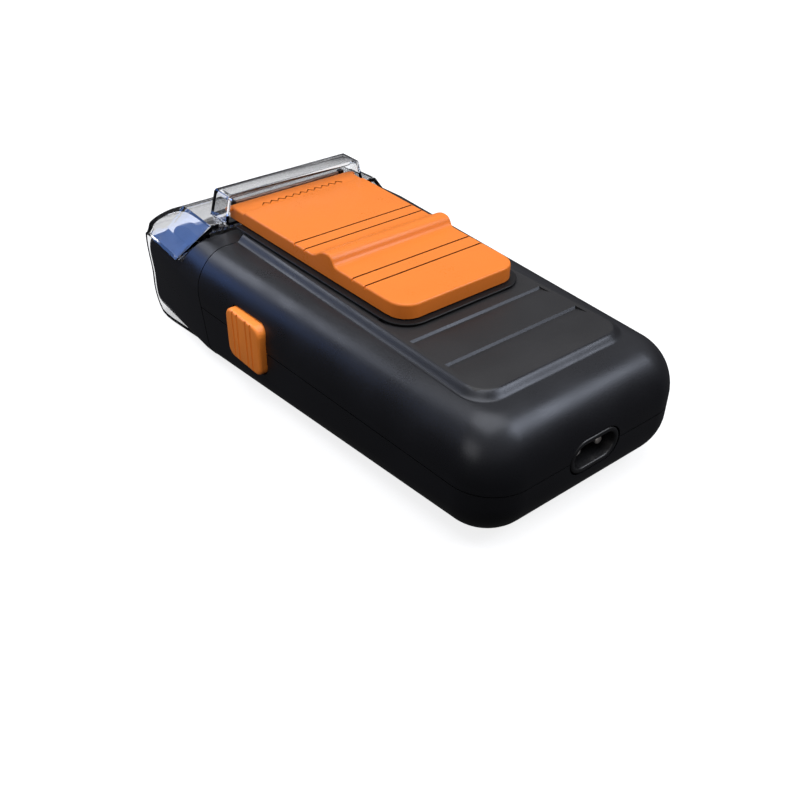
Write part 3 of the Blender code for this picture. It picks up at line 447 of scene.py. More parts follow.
    @staticmethod
    def curve(points: Sequence[Point2], steps: int) -> list[Point2]:
        """Run a smooth curve through side-view points.

        Args:
            points: places the curve passes through.
            steps: samples between two of them.

        Returns:
            The sampled curve.
        """
        padded = [points[0], *points, points[-1]]
        out: list[Point2] = []
        for index in range(1, len(padded) - 2):
            p0, p1, p2, p3 = (Vector(p) for p in padded[index - 1:index + 3])
            for step in range(steps):
                t = step / steps
                q = 0.5 * ((2 * p1) + (p2 - p0) * t + (2 * p0 - 5 * p1 + 4 * p2 - p3) * t * t
                           + (3 * p1 - p0 - 3 * p2 + p3) * t ** 3)
                out.append((q.x, q.y))
        out.append(tuple(points[-1]))
        return out


class RowTree:
    """Geometry Nodes tree that repeats a piece along one line."""

    NAME = "Row_of_pieces"

    @classmethod
    def tree(cls) -> bpy.types.GeometryNodeTree:
        """Build the tree once.

        Returns:
            The node group with inputs Count, Start, Step and Material.
        """
        if cls.NAME in bpy.data.node_groups:
            return bpy.data.node_groups[cls.NAME]
        group = bpy.data.node_groups.new(cls.NAME, "GeometryNodeTree")
        face = group.interface
        face.new_socket("Geometry", in_out="INPUT", socket_type="NodeSocketGeometry")
        face.new_socket("Count", in_out="INPUT", socket_type="NodeSocketInt")
        face.new_socket("Start", in_out="INPUT", socket_type="NodeSocketVector")
        face.new_socket("Step", in_out="INPUT", socket_type="NodeSocketVector")
        face.new_socket("Material", in_out="INPUT", socket_type="NodeSocketMaterial")
        face.new_socket("Geometry", in_out="OUTPUT", socket_type="NodeSocketGeometry")
        nodes = group.nodes
        source = nodes.new("NodeGroupInput")
        line = nodes.new("GeometryNodeMeshLine")
        place = nodes.new("GeometryNodeInstanceOnPoints")
        solid = nodes.new("GeometryNodeRealizeInstances")
        dress = nodes.new("GeometryNodeSetMaterial")
        sink = nodes.new("NodeGroupOutput")
        link = group.links.new
        link(source.outputs["Count"], line.inputs["Count"])
        link(source.outputs["Start"], line.inputs["Start Location"])
        link(source.outputs["Step"], line.inputs["Offset"])
        link(line.outputs["Mesh"], place.inputs["Points"])
        link(source.outputs["Geometry"], place.inputs["Instance"])
        link(place.outputs["Instances"], solid.inputs["Geometry"])
        link(solid.outputs["Geometry"], dress.inputs["Geometry"])
        link(source.outputs["Material"], dress.inputs["Material"])
        link(dress.outputs["Geometry"], sink.inputs["Geometry"])
        return group

    @classmethod
    def repeat(cls, obj: bpy.types.Object, count: int, start: Sequence[float],
               step: Sequence[float], mat: bpy.types.Material | None = None,
               crease: float = 35.0) -> bpy.types.Object:
        """Repeat a piece along a line and keep the result as plain mesh.

        Args:
            obj: the piece, drawn at the origin.
            count: how many.
            start: place of the first.
            step: offset from one to the next.
            mat: material of the copies.
            crease: sharp edge limit in degrees.

        Returns:
            The piece, now holding every copy.
        """
        group = cls.tree()
        mod = obj.modifiers.new("Row", "NODES")
        mod.node_group = group
        values = {"Count": count, "Start": tuple(start), "Step": tuple(step),
                  "Material": mat}
        for item in group.interface.items_tree:
            if item.in_out == "INPUT" and item.name in values:
                mod[item.identifier] = values[item.name]
        obj.update_tag()
        bpy.context.view_layer.update()
        return Forge.bake(obj, crease)


class LatticeTree:
    """Geometry Nodes tree that wraps a sheet of six-sided holes round an arc."""

    NAME = "Arched_lattice"

    @classmethod
    def tree(cls) -> bpy.types.GeometryNodeTree:
        """Build the tree once.

        Returns:
            The node group with inputs Width, Length, Pitch, Radius, Start, Centre,
            Bridge and Material.
        """
        if cls.NAME in bpy.data.node_groups:
            return bpy.data.node_groups[cls.NAME]
        group = bpy.data.node_groups.new(cls.NAME, "GeometryNodeTree")
        face = group.interface
        for name in ("Width", "Length", "Pitch", "Radius", "Start", "Bridge"):
            face.new_socket(name, in_out="INPUT", socket_type="NodeSocketFloat")
        face.new_socket("Centre", in_out="INPUT", socket_type="NodeSocketVector")
        face.new_socket("Material", in_out="INPUT", socket_type="NodeSocketMaterial")
        face.new_socket("Geometry", in_out="OUTPUT", socket_type="NodeSocketGeometry")
        source = group.nodes.new("NodeGroupInput")
        sheet = cls._staggered(group, source)
        holes = cls._holes(group, source, sheet)
        bent = cls._bend(group, source, holes)
        solid = group.nodes.new("GeometryNodeRealizeInstances")
        dress = group.nodes.new("GeometryNodeSetMaterial")
        sink = group.nodes.new("NodeGroupOutput")
        group.links.new(bent, solid.inputs["Geometry"])
        group.links.new(solid.outputs["Geometry"], dress.inputs["Geometry"])
        group.links.new(source.outputs["Material"], dress.inputs["Material"])
        group.links.new(dress.outputs["Geometry"], sink.inputs["Geometry"])
        return group

    @staticmethod
    def _math(group: bpy.types.GeometryNodeTree, operation: str, first: object,
              second: object = 0.0) -> bpy.types.NodeSocket:
        """One Math node.

        Args:
            group: the tree.
            operation: the Math node's operation.
            first: a socket or a number.
            second: a socket or a number.

        Returns:
            The result's socket.
        """
        node = group.nodes.new("ShaderNodeMath")
        node.operation = operation
        for slot, value in zip(node.inputs, (first, second)):
            if isinstance(value, bpy.types.NodeSocket):
                group.links.new(value, slot)
            else:
                slot.default_value = value
        return node.outputs["Value"]

    @classmethod
    def _staggered(cls, group: bpy.types.GeometryNodeTree,
                   source: bpy.types.Node) -> bpy.types.NodeSocket:
        """Flat sheet of hexagons from a staggered grid."""
        grid = group.nodes.new("GeometryNodeMeshGrid")
        row = cls._math(group, "MULTIPLY", source.outputs["Pitch"], math.sqrt(0.75))
        across = cls._math(group, "DIVIDE", source.outputs["Width"],
                           source.outputs["Pitch"])
        along = cls._math(group, "DIVIDE", source.outputs["Length"], row)
        group.links.new(source.outputs["Width"], grid.inputs["Size X"])
        group.links.new(source.outputs["Length"], grid.inputs["Size Y"])
        group.links.new(across, grid.inputs["Vertices X"])
        group.links.new(along, grid.inputs["Vertices Y"])
        place = group.nodes.new("GeometryNodeInputPosition")
        split = group.nodes.new("ShaderNodeSeparateXYZ")
        group.links.new(place.outputs["Position"], split.inputs["Vector"])
        lifted = cls._math(group, "ADD", split.outputs["Y"], 1.0)
        rows = cls._math(group, "ROUND", cls._math(group, "DIVIDE", lifted, row))
        odd = cls._math(group, "MODULO", rows, 2.0)
        half = cls._math(group, "MULTIPLY", source.outputs["Pitch"], 0.5)
        shift = cls._math(group, "MULTIPLY", odd, half)
        join = group.nodes.new("ShaderNodeCombineXYZ")
        group.links.new(shift, join.inputs["X"])
        move = group.nodes.new("GeometryNodeSetPosition")
        group.links.new(grid.outputs["Mesh"], move.inputs["Geometry"])
        group.links.new(join.outputs["Vector"], move.inputs["Offset"])
        cut = group.nodes.new("GeometryNodeTriangulate")
        cut.quad_method = "SHORTEST_DIAGONAL"
        group.links.new(move.outputs["Geometry"], cut.inputs["Mesh"])
        dual = group.nodes.new("GeometryNodeDualMesh")
        group.links.new(cut.outputs["Mesh"], dual.inputs["Mesh"])
        return dual.outputs["Dual Mesh"]

    @staticmethod
    def _holes(group: bpy.types.GeometryNodeTree, source: bpy.types.Node,
               sheet: bpy.types.NodeSocket) -> bpy.types.NodeSocket:
        """Open the middle of every hexagon."""
        rim = group.nodes.new("GeometryNodeExtrudeMesh")
        rim.mode = "FACES"
        rim.inputs["Offset Scale"].default_value = 0.0
        rim.inputs["Individual"].default_value = True
        shrink = group.nodes.new("GeometryNodeScaleElements")
        shrink.domain = "FACE"
        drop = group.nodes.new("GeometryNodeDeleteGeometry")
        drop.domain = "FACE"
        link = group.links.new
        link(sheet, rim.inputs["Mesh"])
        link(rim.outputs["Mesh"], shrink.inputs["Geometry"])
        link(rim.outputs["Top"], shrink.inputs["Selection"])
        link(source.outputs["Bridge"], shrink.inputs["Scale"])
        link(shrink.outputs["Geometry"], drop.inputs["Geometry"])
        link(rim.outputs["Top"], drop.inputs["Selection"])
        return drop.outputs["Geometry"]

    @classmethod
    def _bend(cls, group: bpy.types.GeometryNodeTree, source: bpy.types.Node,
              sheet: bpy.types.NodeSocket) -> bpy.types.NodeSocket:
        """Wrap the flat sheet round the arc."""
        place = group.nodes.new("GeometryNodeInputPosition")
        split = group.nodes.new("ShaderNodeSeparateXYZ")
        group.links.new(place.outputs["Position"], split.inputs["Vector"])
        middle = cls._math(group, "MULTIPLY", source.outputs["Length"], 0.5)
        run = cls._math(group, "ADD", split.outputs["Y"], middle)
        turn = cls._math(group, "DIVIDE", run, source.outputs["Radius"])
        angle = cls._math(group, "ADD", turn, source.outputs["Start"])
        out = cls._math(group, "MULTIPLY", cls._math(group, "COSINE", angle),
                        source.outputs["Radius"])
        up = cls._math(group, "MULTIPLY", cls._math(group, "SINE", angle),
                       source.outputs["Radius"])
        join = group.nodes.new("ShaderNodeCombineXYZ")
        group.links.new(split.outputs["X"], join.inputs["X"])
        group.links.new(out, join.inputs["Y"])
        group.links.new(up, join.inputs["Z"])
        move = group.nodes.new("ShaderNodeVectorMath")
        move.operation = "ADD"
        group.links.new(join.outputs["Vector"], move.inputs[0])
        group.links.new(source.outputs["Centre"], move.inputs[1])
        bend = group.nodes.new("GeometryNodeSetPosition")
        group.links.new(sheet, bend.inputs["Geometry"])
        group.links.new(move.outputs["Vector"], bend.inputs["Position"])
        return bend.outputs["Geometry"]

    @classmethod
    def make(cls, name: str, values: dict[str, object]) -> bpy.types.Object:
        """Build one lattice as plain mesh.

        Args:
            name: the object's name.
            values: the tree's inputs by name.

        Returns:
            The new object.
        """
        obj = bpy.data.objects.new(name, bpy.data.meshes.new(name))
        bpy.context.scene.collection.objects.link(obj)
        group = cls.tree()
        mod = obj.modifiers.new("Lattice", "NODES")
        mod.node_group = group
        for item in group.interface.items_tree:
            if item.in_out == "INPUT" and item.name in values:
                mod[item.identifier] = values[item.name]
        obj.update_tag()
        bpy.context.view_layer.update()
        return Forge.bake(obj, 60.0)


class ZigzagTree:
    """Geometry Nodes tree that sweeps a square bar along a zigzag."""

    NAME = "Zigzag_bar"

    @classmethod
    def tree(cls) -> bpy.types.GeometryNodeTree:
        """Build the tree once.

        Returns:
            The node group with inputs Count, Start, Step, Rise, Width and Material.
        """
        if cls.NAME in bpy.data.node_groups:
            return bpy.data.node_groups[cls.NAME]
        group = bpy.data.node_groups.new(cls.NAME, "GeometryNodeTree")
        face = group.interface
        face.new_socket("Count", in_out="INPUT", socket_type="NodeSocketInt")
        face.new_socket("Start", in_out="INPUT", socket_type="NodeSocketVector")
        face.new_socket("Step", in_out="INPUT", socket_type="NodeSocketVector")
        face.new_socket("Rise", in_out="INPUT", socket_type="NodeSocketVector")
        face.new_socket("Width", in_out="INPUT", socket_type="NodeSocketFloat")
        face.new_socket("Material", in_out="INPUT", socket_type="NodeSocketMaterial")
        face.new_socket("Geometry", in_out="OUTPUT", socket_type="NodeSocketGeometry")
        nodes = group.nodes
        link = group.links.new
        source = nodes.new("NodeGroupInput")
        line = nodes.new("GeometryNodeMeshLine")
        link(source.outputs["Count"], line.inputs["Count"])
        link(source.outputs["Start"], line.inputs["Start Location"])
        link(source.outputs["Step"], line.inputs["Offset"])
        index = nodes.new("GeometryNodeInputIndex")
        odd = LatticeTree._math(group, "MODULO", index.outputs["Index"], 2.0)
        lift = nodes.new("ShaderNodeVectorMath")
        lift.operation = "SCALE"
        link(source.outputs["Rise"], lift.inputs[0])
        link(odd, lift.inputs["Scale"])
        move = nodes.new("GeometryNodeSetPosition")
        link(line.outputs["Mesh"], move.inputs["Geometry"])
        link(lift.outputs["Vector"], move.inputs["Offset"])
        path = nodes.new("GeometryNodeMeshToCurve")
        link(move.outputs["Geometry"], path.inputs["Mesh"])
        square = nodes.new("GeometryNodeCurvePrimitiveQuadrilateral")
        link(source.outputs["Width"], square.inputs["Width"])
        link(source.outputs["Width"], square.inputs["Height"])
        sweep = nodes.new("GeometryNodeCurveToMesh")
        sweep.inputs["Fill Caps"].default_value = True
        link(path.outputs["Curve"], sweep.inputs["Curve"])
        link(square.outputs["Curve"], sweep.inputs["Profile Curve"])
        solid = nodes.new("GeometryNodeRealizeInstances")
        dress = nodes.new("GeometryNodeSetMaterial")
        sink = nodes.new("NodeGroupOutput")
        link(sweep.outputs["Mesh"], solid.inputs["Geometry"])
        link(solid.outputs["Geometry"], dress.inputs["Geometry"])
        link(source.outputs["Material"], dress.inputs["Material"])
        link(dress.outputs["Geometry"], sink.inputs["Geometry"])
        return group

    @classmethod
    def make(cls, name: str, values: dict[str, object]) -> bpy.types.Object:
        """Build one zigzag bar as plain mesh.

        Args:
            name: the object's name.
            values: the tree's inputs by name.

        Returns:
            The new object.
        """
        obj = bpy.data.objects.new(name, bpy.data.meshes.new(name))
        bpy.context.scene.collection.objects.link(obj)
        group = cls.tree()
        mod = obj.modifiers.new("Zigzag", "NODES")
        mod.node_group = group
        for item in group.interface.items_tree:
            if item.in_out == "INPUT" and item.name in values:
                mod[item.identifier] = values[item.name]
        obj.update_tag()
        bpy.context.view_layer.update()
        return Forge.bake(obj)


@dataclass(frozen=True)
class Palette:
    """Finishes of the shaver, each made once."""

    body: bpy.types.Material
    deck: bpy.types.Material
    orange: bpy.types.Material
    button: bpy.types.Material
    # painted shade for the slide's groove bottoms and zigzag mark
    groove: bpy.types.Material
    runner: bpy.types.Material
    grey: bpy.types.Material
    white: bpy.types.Material
    steel: bpy.types.Material
    foil: bpy.types.Material
    bronze: bpy.types.Material
    brass: bpy.types.Material
    cell: bpy.types.Material
    board: bpy.types.Material
    clear: bpy.types.Material
    floor: bpy.types.Material

    @classmethod
    def mix(cls) -> "Palette":
        """Make every finish.

        Returns:
            The palette.
        """
        metal = (1.0, 1.0, 1.0)
        return cls(
            body=Finish("satin_black", (0.005, 0.005, 0.0058), 0.34, specular=0.4,
                        tint=(0.86, 0.9, 1.0), grain_size=0.25 * MM, bump=0.004 * MM,
                        wear=0.02).material(),
            deck=Finish("deck_black", (0.010, 0.0097, 0.0104), 0.5, specular=0.35,
                        grain_size=0.22 * MM, bump=0.012 * MM, patch=0.1).material(),
            runner=Finish("runner_black", (0.004, 0.004, 0.0045), 0.5, specular=0.2,
                          grain_size=0.25 * MM, bump=0.006 * MM).material(),
            # painted shade: this darker orange goes on the groove bottoms and the zigzag mark,
            # standing in for the shade inside these shallow cuts
            groove=Finish("shaded_orange", (0.16, 0.045, 0.012), 0.6, specular=0.1,
                          grain_size=0.3 * MM).material(),
            orange=Finish("moulded_orange", (0.66, 0.168, 0.02), 0.34, specular=0.25,
                          grain_size=0.3 * MM, bump=0.003 * MM, patch=0.02,
                          wear=0.06).material(),
            button=Finish("button_orange", (0.88, 0.24, 0.03), 0.4, specular=0.4,
                          grain_size=0.3 * MM, bump=0.004 * MM, patch=0.04,
                          wear=0.08).material(),
            grey=Finish("dark_grey_plastic", (0.007, 0.007, 0.0075), 0.34,
                        specular=0.4, wear=0.05).material(),
            white=Finish("white_plastic", (0.72, 0.71, 0.68), 0.45).material(),
            steel=Finish("ground_steel", (0.6, 0.6, 0.61), 0.24, Grain.BRUSHED, 1.0,
                         tint=metal, grain_size=0.4 * MM, bump=0.006 * MM,
                         stretch=(0.08, 1.0, 1.0)).material(),
            foil=Finish("foil_steel", (0.62, 0.61, 0.59), 0.27, Grain.BRUSHED, 1.0,
                        tint=metal, grain_size=0.2 * MM, bump=0.003 * MM).material(),
            bronze=Finish("bronze_rail", (0.2, 0.115, 0.085), 0.3, Grain.BRUSHED, 0.6,
                          stretch=(0.1, 1.0, 1.0)).material(),
            brass=Finish("pin_brass", (0.85, 0.8, 0.72), 0.35, Grain.BRUSHED, 1.0,
                         tint=metal).material(),
            cell=Finish("cell_wrap", (0.06, 0.2, 0.32), 0.35, Grain.GLOSS).material(),
            board=Finish("green_board", (0.03, 0.16, 0.06), 0.42, Grain.GLOSS,
                         patch=0.2).material(),
            clear=Finish("clear_cap", (0.78, 0.785, 0.79), 0.03, Grain.CLEAR,
                         tint=(0.9, 0.95, 1.0), grain_size=2 * MM, bump=0.002 * MM,
                         patch=0.02, rough_span=0.02).material(),
            floor=Finish("pale_floor", (0.25, 0.25, 0.25), 0.7, specular=0.1,
                         grain_size=1.5 * MM, bump=0.01 * MM, patch=0.006,
                         glow=0.8).material(),
        )


def dress(obj: bpy.types.Object, mat: bpy.types.Material, body: str, slot: str,
          *nodes: str) -> bpy.types.Object:
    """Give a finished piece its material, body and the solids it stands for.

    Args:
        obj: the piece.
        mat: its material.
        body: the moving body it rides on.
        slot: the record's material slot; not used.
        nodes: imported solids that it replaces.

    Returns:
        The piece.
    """
    if not obj.data.materials:
        obj.data.materials.append(mat)
    else:
        for index, held in enumerate(obj.data.materials):
            if held is None:
                obj.data.materials[index] = mat
    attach(obj, body)
    if nodes:
        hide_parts(*nodes)
    LOG.info("%s: %d faces on %s", obj.name, len(obj.data.polygons), body)
    return obj


@dataclass
class Layout:
    """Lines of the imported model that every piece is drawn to."""

    base_y: float
    joint_y: float
    nose_y: float
    part_z: float
    deck_z: float
    joint_half: float
    taper: float = 0.045
    gap: float = 0.3 * MM

    @classmethod
    def measure(cls) -> "Layout":
        """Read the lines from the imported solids.

        Returns:
            The layout.
        """
        low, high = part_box("lower_shell")
        return cls(base_y=low[1], joint_y=high[1], nose_y=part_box("clear_cap")[1][1],
                   part_z=high[2] + cls.gap / 2, deck_z=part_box("upper_shell")[1][2],
                   joint_half=high[0])

    def half(self, y: float) -> float:
        """Half width of the body at one place along it."""
        return self.joint_half - self.taper * (self.joint_y - y)


@dataclass
class Housing:
    """Upper and lower shell with deck, grip steps and openings."""

    line: Layout
    mats: Palette
    wall: float = 1.8 * MM
    corner: float = 11.0 * MM
    shoulder_in: float = 9.5 * MM
    shoulder_down: float = 12.0 * MM
    bottom_base: float = 12.0 * MM
    bottom_head: float = 5.0 * MM
    deck_rise: float = 1.6 * MM
    deck_half: float = 20.7 * MM
    deck_base: float = 13.6 * MM
    deck_corner: float = 5.5 * MM
    skirt: float = 2.4 * MM
    grip_first: float = 25.9 * MM
    grip_pitch: float = 11.3 * MM
    grip_count: int = 3
    grip_ramp: float = 3.2 * MM
    grip_depth: float = 0.5 * MM
    grip_half: float = 19.6 * MM
    grip_lean: float = 0.46 * MM
    window_gap: float = 0.4 * MM
    seam_z: float = 21.0 * MM
    seam_lean: float = 0.176
    slot_half: float = 2.9 * MM
    slot_back: float = 20.4 * MM
    slot_front: float = 2.4 * MM
    slot_deep: float = 8.0 * MM
    arc_steps: int = 16
    side_steps: int = 14

    @property
    def shoulder_z(self) -> float:
        """Height of the flat round the deck."""
        return self.line.deck_z - self.deck_rise

    def outline(self, inset: Callable[[float], float], z: Callable[[float], float],
                head_y: float) -> Ring:
        """Plan loop of the body.

        Args:
            inset: how far the loop is drawn in, by place along the body.
            z: its height, by place along the body.
            head_y: where it ends at the head.

        Returns:
            The loop's points.
        """
        deep = inset(self.line.base_y)
        radius = max(self.corner - deep * 0.72, 1.2 * MM)
        base = self.line.base_y + deep
        flank = self.line.half(base) - inset(base)
        start = Vector((-(self.line.half(head_y) - inset(head_y)), head_y))
        stop = Vector((-flank, base + radius))
        plan = [start.lerp(stop, step / self.side_steps) for step in range(self.side_steps)]
        for step in range(self.arc_steps + 1):
            turn = math.pi / 2 * step / self.arc_steps
            plan.append(Vector((-(flank - radius * (1 - math.cos(turn))),
                                base + radius * (1 - math.sin(turn)))))
        points = [Vector((p.x, p.y, z(p.y))) for p in plan]
        return points + [Vector((-p.x, p.y, p.z)) for p in reversed(points)]

    def deck_loop(self, out: float, z: float, head_y: float) -> Ring:
        """Plan loop of the deck, grown by a set amount.

        Args:
            out: growth of the loop.
            z: its height.
            head_y: where it ends at the head.

        Returns:
            The loop's points.
        """
        radius = self.deck_corner + out * 0.5
        half = self.deck_half + out
        base = self.line.base_y + self.deck_base - out
        start = Vector((-half, head_y, z))
        stop = Vector((-half, base + radius, z))
        points = [start.lerp(stop, step / self.side_steps)
                  for step in range(self.side_steps)]
        for step in range(self.arc_steps + 1):
            turn = math.pi / 2 * step / self.arc_steps
            points.append(Vector((-(half - radius * (1 - math.cos(turn))),
                                  base + radius * (1 - math.sin(turn)), z)))
        return points + [Vector((-p.x, p.y, p.z)) for p in reversed(points)]

    def upper_rings(self, shrink: float, low_z: float, head_y: float) -> list[Ring]:
        """Loops of the upper half from the parting line to the shoulder.

        Args:
            shrink: how far inside the outer skin they are.
            low_z: height of the lowest loop.
            head_y: where they end at the head.

        Returns:
            The loops.
        """
        rings = [self.outline(lambda y: shrink, lambda y: low_z, head_y)]
        start = self.shoulder_z - self.shoulder_down
        for step in range(self.arc_steps + 1):
            turn = math.pi / 2 * step / self.arc_steps
            z = start + (self.shoulder_down - shrink) * math.sin(turn)
            inset = shrink + (self.shoulder_in - shrink) * (1 - math.cos(turn))
            rings.append(self.outline(lambda y, i=inset: i, lambda y, h=z: h, head_y))
        return rings

    def lower_rings(self, shrink: float, high_z: float, head_y: float) -> list[Ring]:
        """Loops of the lower half from the back face to the parting line.

        Args:
            shrink: how far inside the outer skin they are.
            high_z: height of the highest loop.
            head_y: where they end at the head.

        Returns:
            The loops.
        """
        span = self.line.joint_y - self.line.base_y

        def reach(y: float) -> float:
            share = (y - self.line.base_y) / span
            return self.bottom_base + (self.bottom_head - self.bottom_base) * share - shrink

        rings = []
        for step in range(self.arc_steps + 1):
            turn = math.pi / 2 * (1 - step / self.arc_steps)
            rings.append(self.outline(lambda y, t=turn: shrink + reach(y) * (1 - math.cos(t)),
                                      lambda y, t=turn: shrink + reach(y) * (1 - math.sin(t)),
                                      head_y))
        rings.append(self.outline(lambda y: shrink, lambda y: high_z, head_y))
        return rings

    def seam_back(self, z: float) -> float:
        """How far the head seam has leaned back at one height."""
        return self.seam_lean * max(self.seam_z - z, 0.0)

    def slant(self, shell: bpy.types.Object) -> None:
        """Cut the head end of a shell along the slanting seam."""
        joint = self.line.joint_y
        low, out = -3 * MM, 9 * MM
        side = ((joint, self.seam_z), (joint - self.seam_back(low), low), (joint + out, low),
                (joint + out, self.seam_z))
        rings = [[Vector((x, y, z)) for y, z in side] for x in (-60 * MM, 60 * MM)]
        Forge.combine(shell, Forge.loft("seam_wedge", rings))

    def windows(self, obj: bpy.types.Object) -> None:
        """Cut both button openings and the inlet opening."""
        for tag in ("left", "right"):
            low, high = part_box(f"release_button_{tag}")
            mid_y = (low[1] + high[1]) / 2
            mid_z = (low[2] + high[2]) / 2
            loop = Forge.rounded_rect((high[1] - low[1]) / 2 + self.window_gap,
                                      (high[2] - low[2]) / 2 + self.window_gap, 3.0 * MM)
            rings = [[Vector((x, mid_y + a, mid_z + b)) for a, b in loop]
                     for x in (low[0] - 4 * MM, high[0] + 4 * MM)]
            Forge.combine(obj, Forge.loft("window", rings))
        rings = Inlet.loops(self.line.gap, (self.line.base_y - 2 * MM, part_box("inlet_socket")[1][1]
                                            + MM))
        Forge.combine(obj, Forge.loft("inlet_hole", rings))

    def grips(self, obj: bpy.types.Object) -> None:
        """Cut the row of sawtooth steps into the deck."""
        top = 0.5 * MM
        ramp = self.grip_ramp * (1 + top / self.grip_depth)
        lean = self.grip_lean
        side = ((lean * (1 + 2 * top / self.grip_depth) / 2, top), (-ramp, top),
                (-lean / 2, -self.grip_depth))
        rings = [[Vector((x, y, z)) for y, z in side]
                 for x in (-self.grip_half, self.grip_half)]
        wedge = Forge.loft("grip_wedges", rings)
        RowTree.repeat(wedge, self.grip_count,
                       (0.0, self.line.base_y + self.grip_first, self.line.deck_z),
                       (0.0, self.grip_pitch, 0.0))
        wedge.data.materials.clear()
        Forge.combine(obj, wedge)

    def upper(self) -> bpy.types.Object:
        """Upper shell.

        Returns:
            The finished piece.
        """
        head_y = self.line.joint_y
        rings = self.upper_rings(0.0, self.line.part_z + self.line.gap / 2, head_y)
        steps = 12
        for step in range(steps + 1):
            share = step / steps
            lift = share * share * (3 - 2 * share)
            rings.append(self.deck_loop(self.skirt * (1 - share),
                                        self.shoulder_z + self.deck_rise * lift
                                        + 0.02 * MM * (step == 0), head_y))
        shell = Forge.loft("upper_shell_skin", rings)
        hollow = self.upper_rings(self.wall, self.line.part_z - self.wall,
                                  head_y + self.wall)
        Forge.combine(shell, Forge.loft("hollow", hollow))
        self.grips(shell)
        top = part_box("slide_runner")[1][2]
        near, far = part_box("slide_retainer")
        mid = (near[1] + far[1]) / 2
        slot = Forge.block("slot",
                           (-self.slot_half, mid - self.slot_back, top - self.slot_deep),
                           (self.slot_half, mid + self.slot_front, top))
        Forge.combine(shell, slot)
        self.windows(shell)
        self.slant(shell)
        self.dress_deck(shell)
        return dress(shell, self.mats.body, "housing", "body", "upper_shell")

    def dress_deck(self, shell: bpy.types.Object) -> None:
        """Give the deck floor and its grip steps the rougher finish."""
        mesh = shell.data
        mesh.materials.clear()
        mesh.materials.append(self.mats.body)
        mesh.materials.append(self.mats.deck)
        floor = self.line.deck_z - self.grip_depth - 0.1 * MM
        edge = self.line.base_y + self.deck_base
        for face in mesh.polygons:
            mid = face.center
            on_deck = mid.z > floor and abs(mid.x) < self.deck_half and mid.y > edge
            on_deck = on_deck and face.normal.y > -0.3
            face.material_index = 1 if on_deck else 0

    def lower(self) -> bpy.types.Object:
        """Lower shell.

        Returns:
            The finished piece.
        """
        head_y = self.line.joint_y
        shell = Forge.loft("lower_shell_skin",
                           self.lower_rings(0.0, self.line.part_z - self.line.gap / 2, head_y))
        hollow = self.lower_rings(self.wall, self.line.part_z + self.wall,
                                  head_y + self.wall)
        Forge.combine(shell, Forge.loft("hollow", hollow))
        for number in range(1, 5):
            low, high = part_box(f"shell_screw_{number}")
            x, y = (low[0] + high[0]) / 2, (low[1] + high[1]) / 2
            radius = (high[0] - low[0]) / 2
            Screws.cup(shell, x, y, radius)
        self.windows(shell)
        self.slant(shell)
        return dress(shell, self.mats.body, "housing", "body", "lower_shell")


@dataclass
class Screws:
    """Cross-head screws that hold the shells together."""

    mats: Palette
    segments: int = 32
    cross: float = 0.75 * MM
    depth: float = 0.8 * MM

    @staticmethod
    def bar(name: str, x: float, y: float, levels: Iterable[Point2],
            segments: int = 32) -> bpy.types.Object:
        """Turned bar about an upright axis.

        Args:
            name: the object's name.
            x: axis place across.
            y: axis place along.
            levels: radius and height pairs.
            segments: sides of the bar.

        Returns:
            The new object.
        """
        rings = []
        for radius, z in levels:
            rings.append([Vector((x + radius * math.cos(2 * math.pi * k / segments),
                                  y + radius * math.sin(2 * math.pi * k / segments), z))
                          for k in range(segments)])
        return Forge.loft(name, rings)

    @classmethod
    def cup(cls, shell: bpy.types.Object, x: float, y: float, radius: float) -> None:
        """Add a screw boss to the shell and bore it.

        Args:
            shell: the lower shell.
            x: screw place across.
            y: screw place along.
            radius: radius of the screw head.
        """
        boss = cls.bar("boss", x, y, ((radius + 2 * MM, 1 * MM),
                                      (radius + 2 * MM, 4.6 * MM)))
        Forge.combine(shell, boss, "UNION")
        clear = radius + 0.3 * MM
        bore = cls.bar("bore", x, y, ((clear + 0.9 * MM, -0.5 * MM), (clear, 0.4 * MM),
                                      (clear, 2.6 * MM), (1.4 * MM, 2.61 * MM), (1.4 * MM, 6 * MM)))
        Forge.combine(shell, bore)

    def build(self) -> None:
        """Make all four screws."""
        for number in range(1, 5):
            low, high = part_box(f"shell_screw_{number}")
            x, y = (low[0] + high[0]) / 2, (low[1] + high[1]) / 2
            radius = (high[0] - low[0]) / 2
            base = low[2]
            screw = self.bar(f"screw_{number}", x, y,
                             ((radius * 0.7, base), (radius * 0.9, base + 0.12 * MM),
                              (radius, base + 0.4 * MM), (radius, base + 1.4 * MM),
                              (1.1 * MM, base + 1.41 * MM), (1.1 * MM, high[2] - MM),
                              (0.4 * MM, high[2])), self.segments)
            for turn in (0.0, math.pi / 2):
                slot = Forge.block("slot", (-radius * 0.62, -self.cross / 2, -self.depth),
                                   (radius * 0.62, self.cross / 2, self.depth))
                slot.data.transform(Matrix.Translation((x, y, base))
                                    @ Matrix.Rotation(turn + 0.4 * number, 4, "Z"))
                Forge.combine(screw, slot)
            dress(screw, self.mats.steel, "housing", "steel", f"shell_screw_{number}")


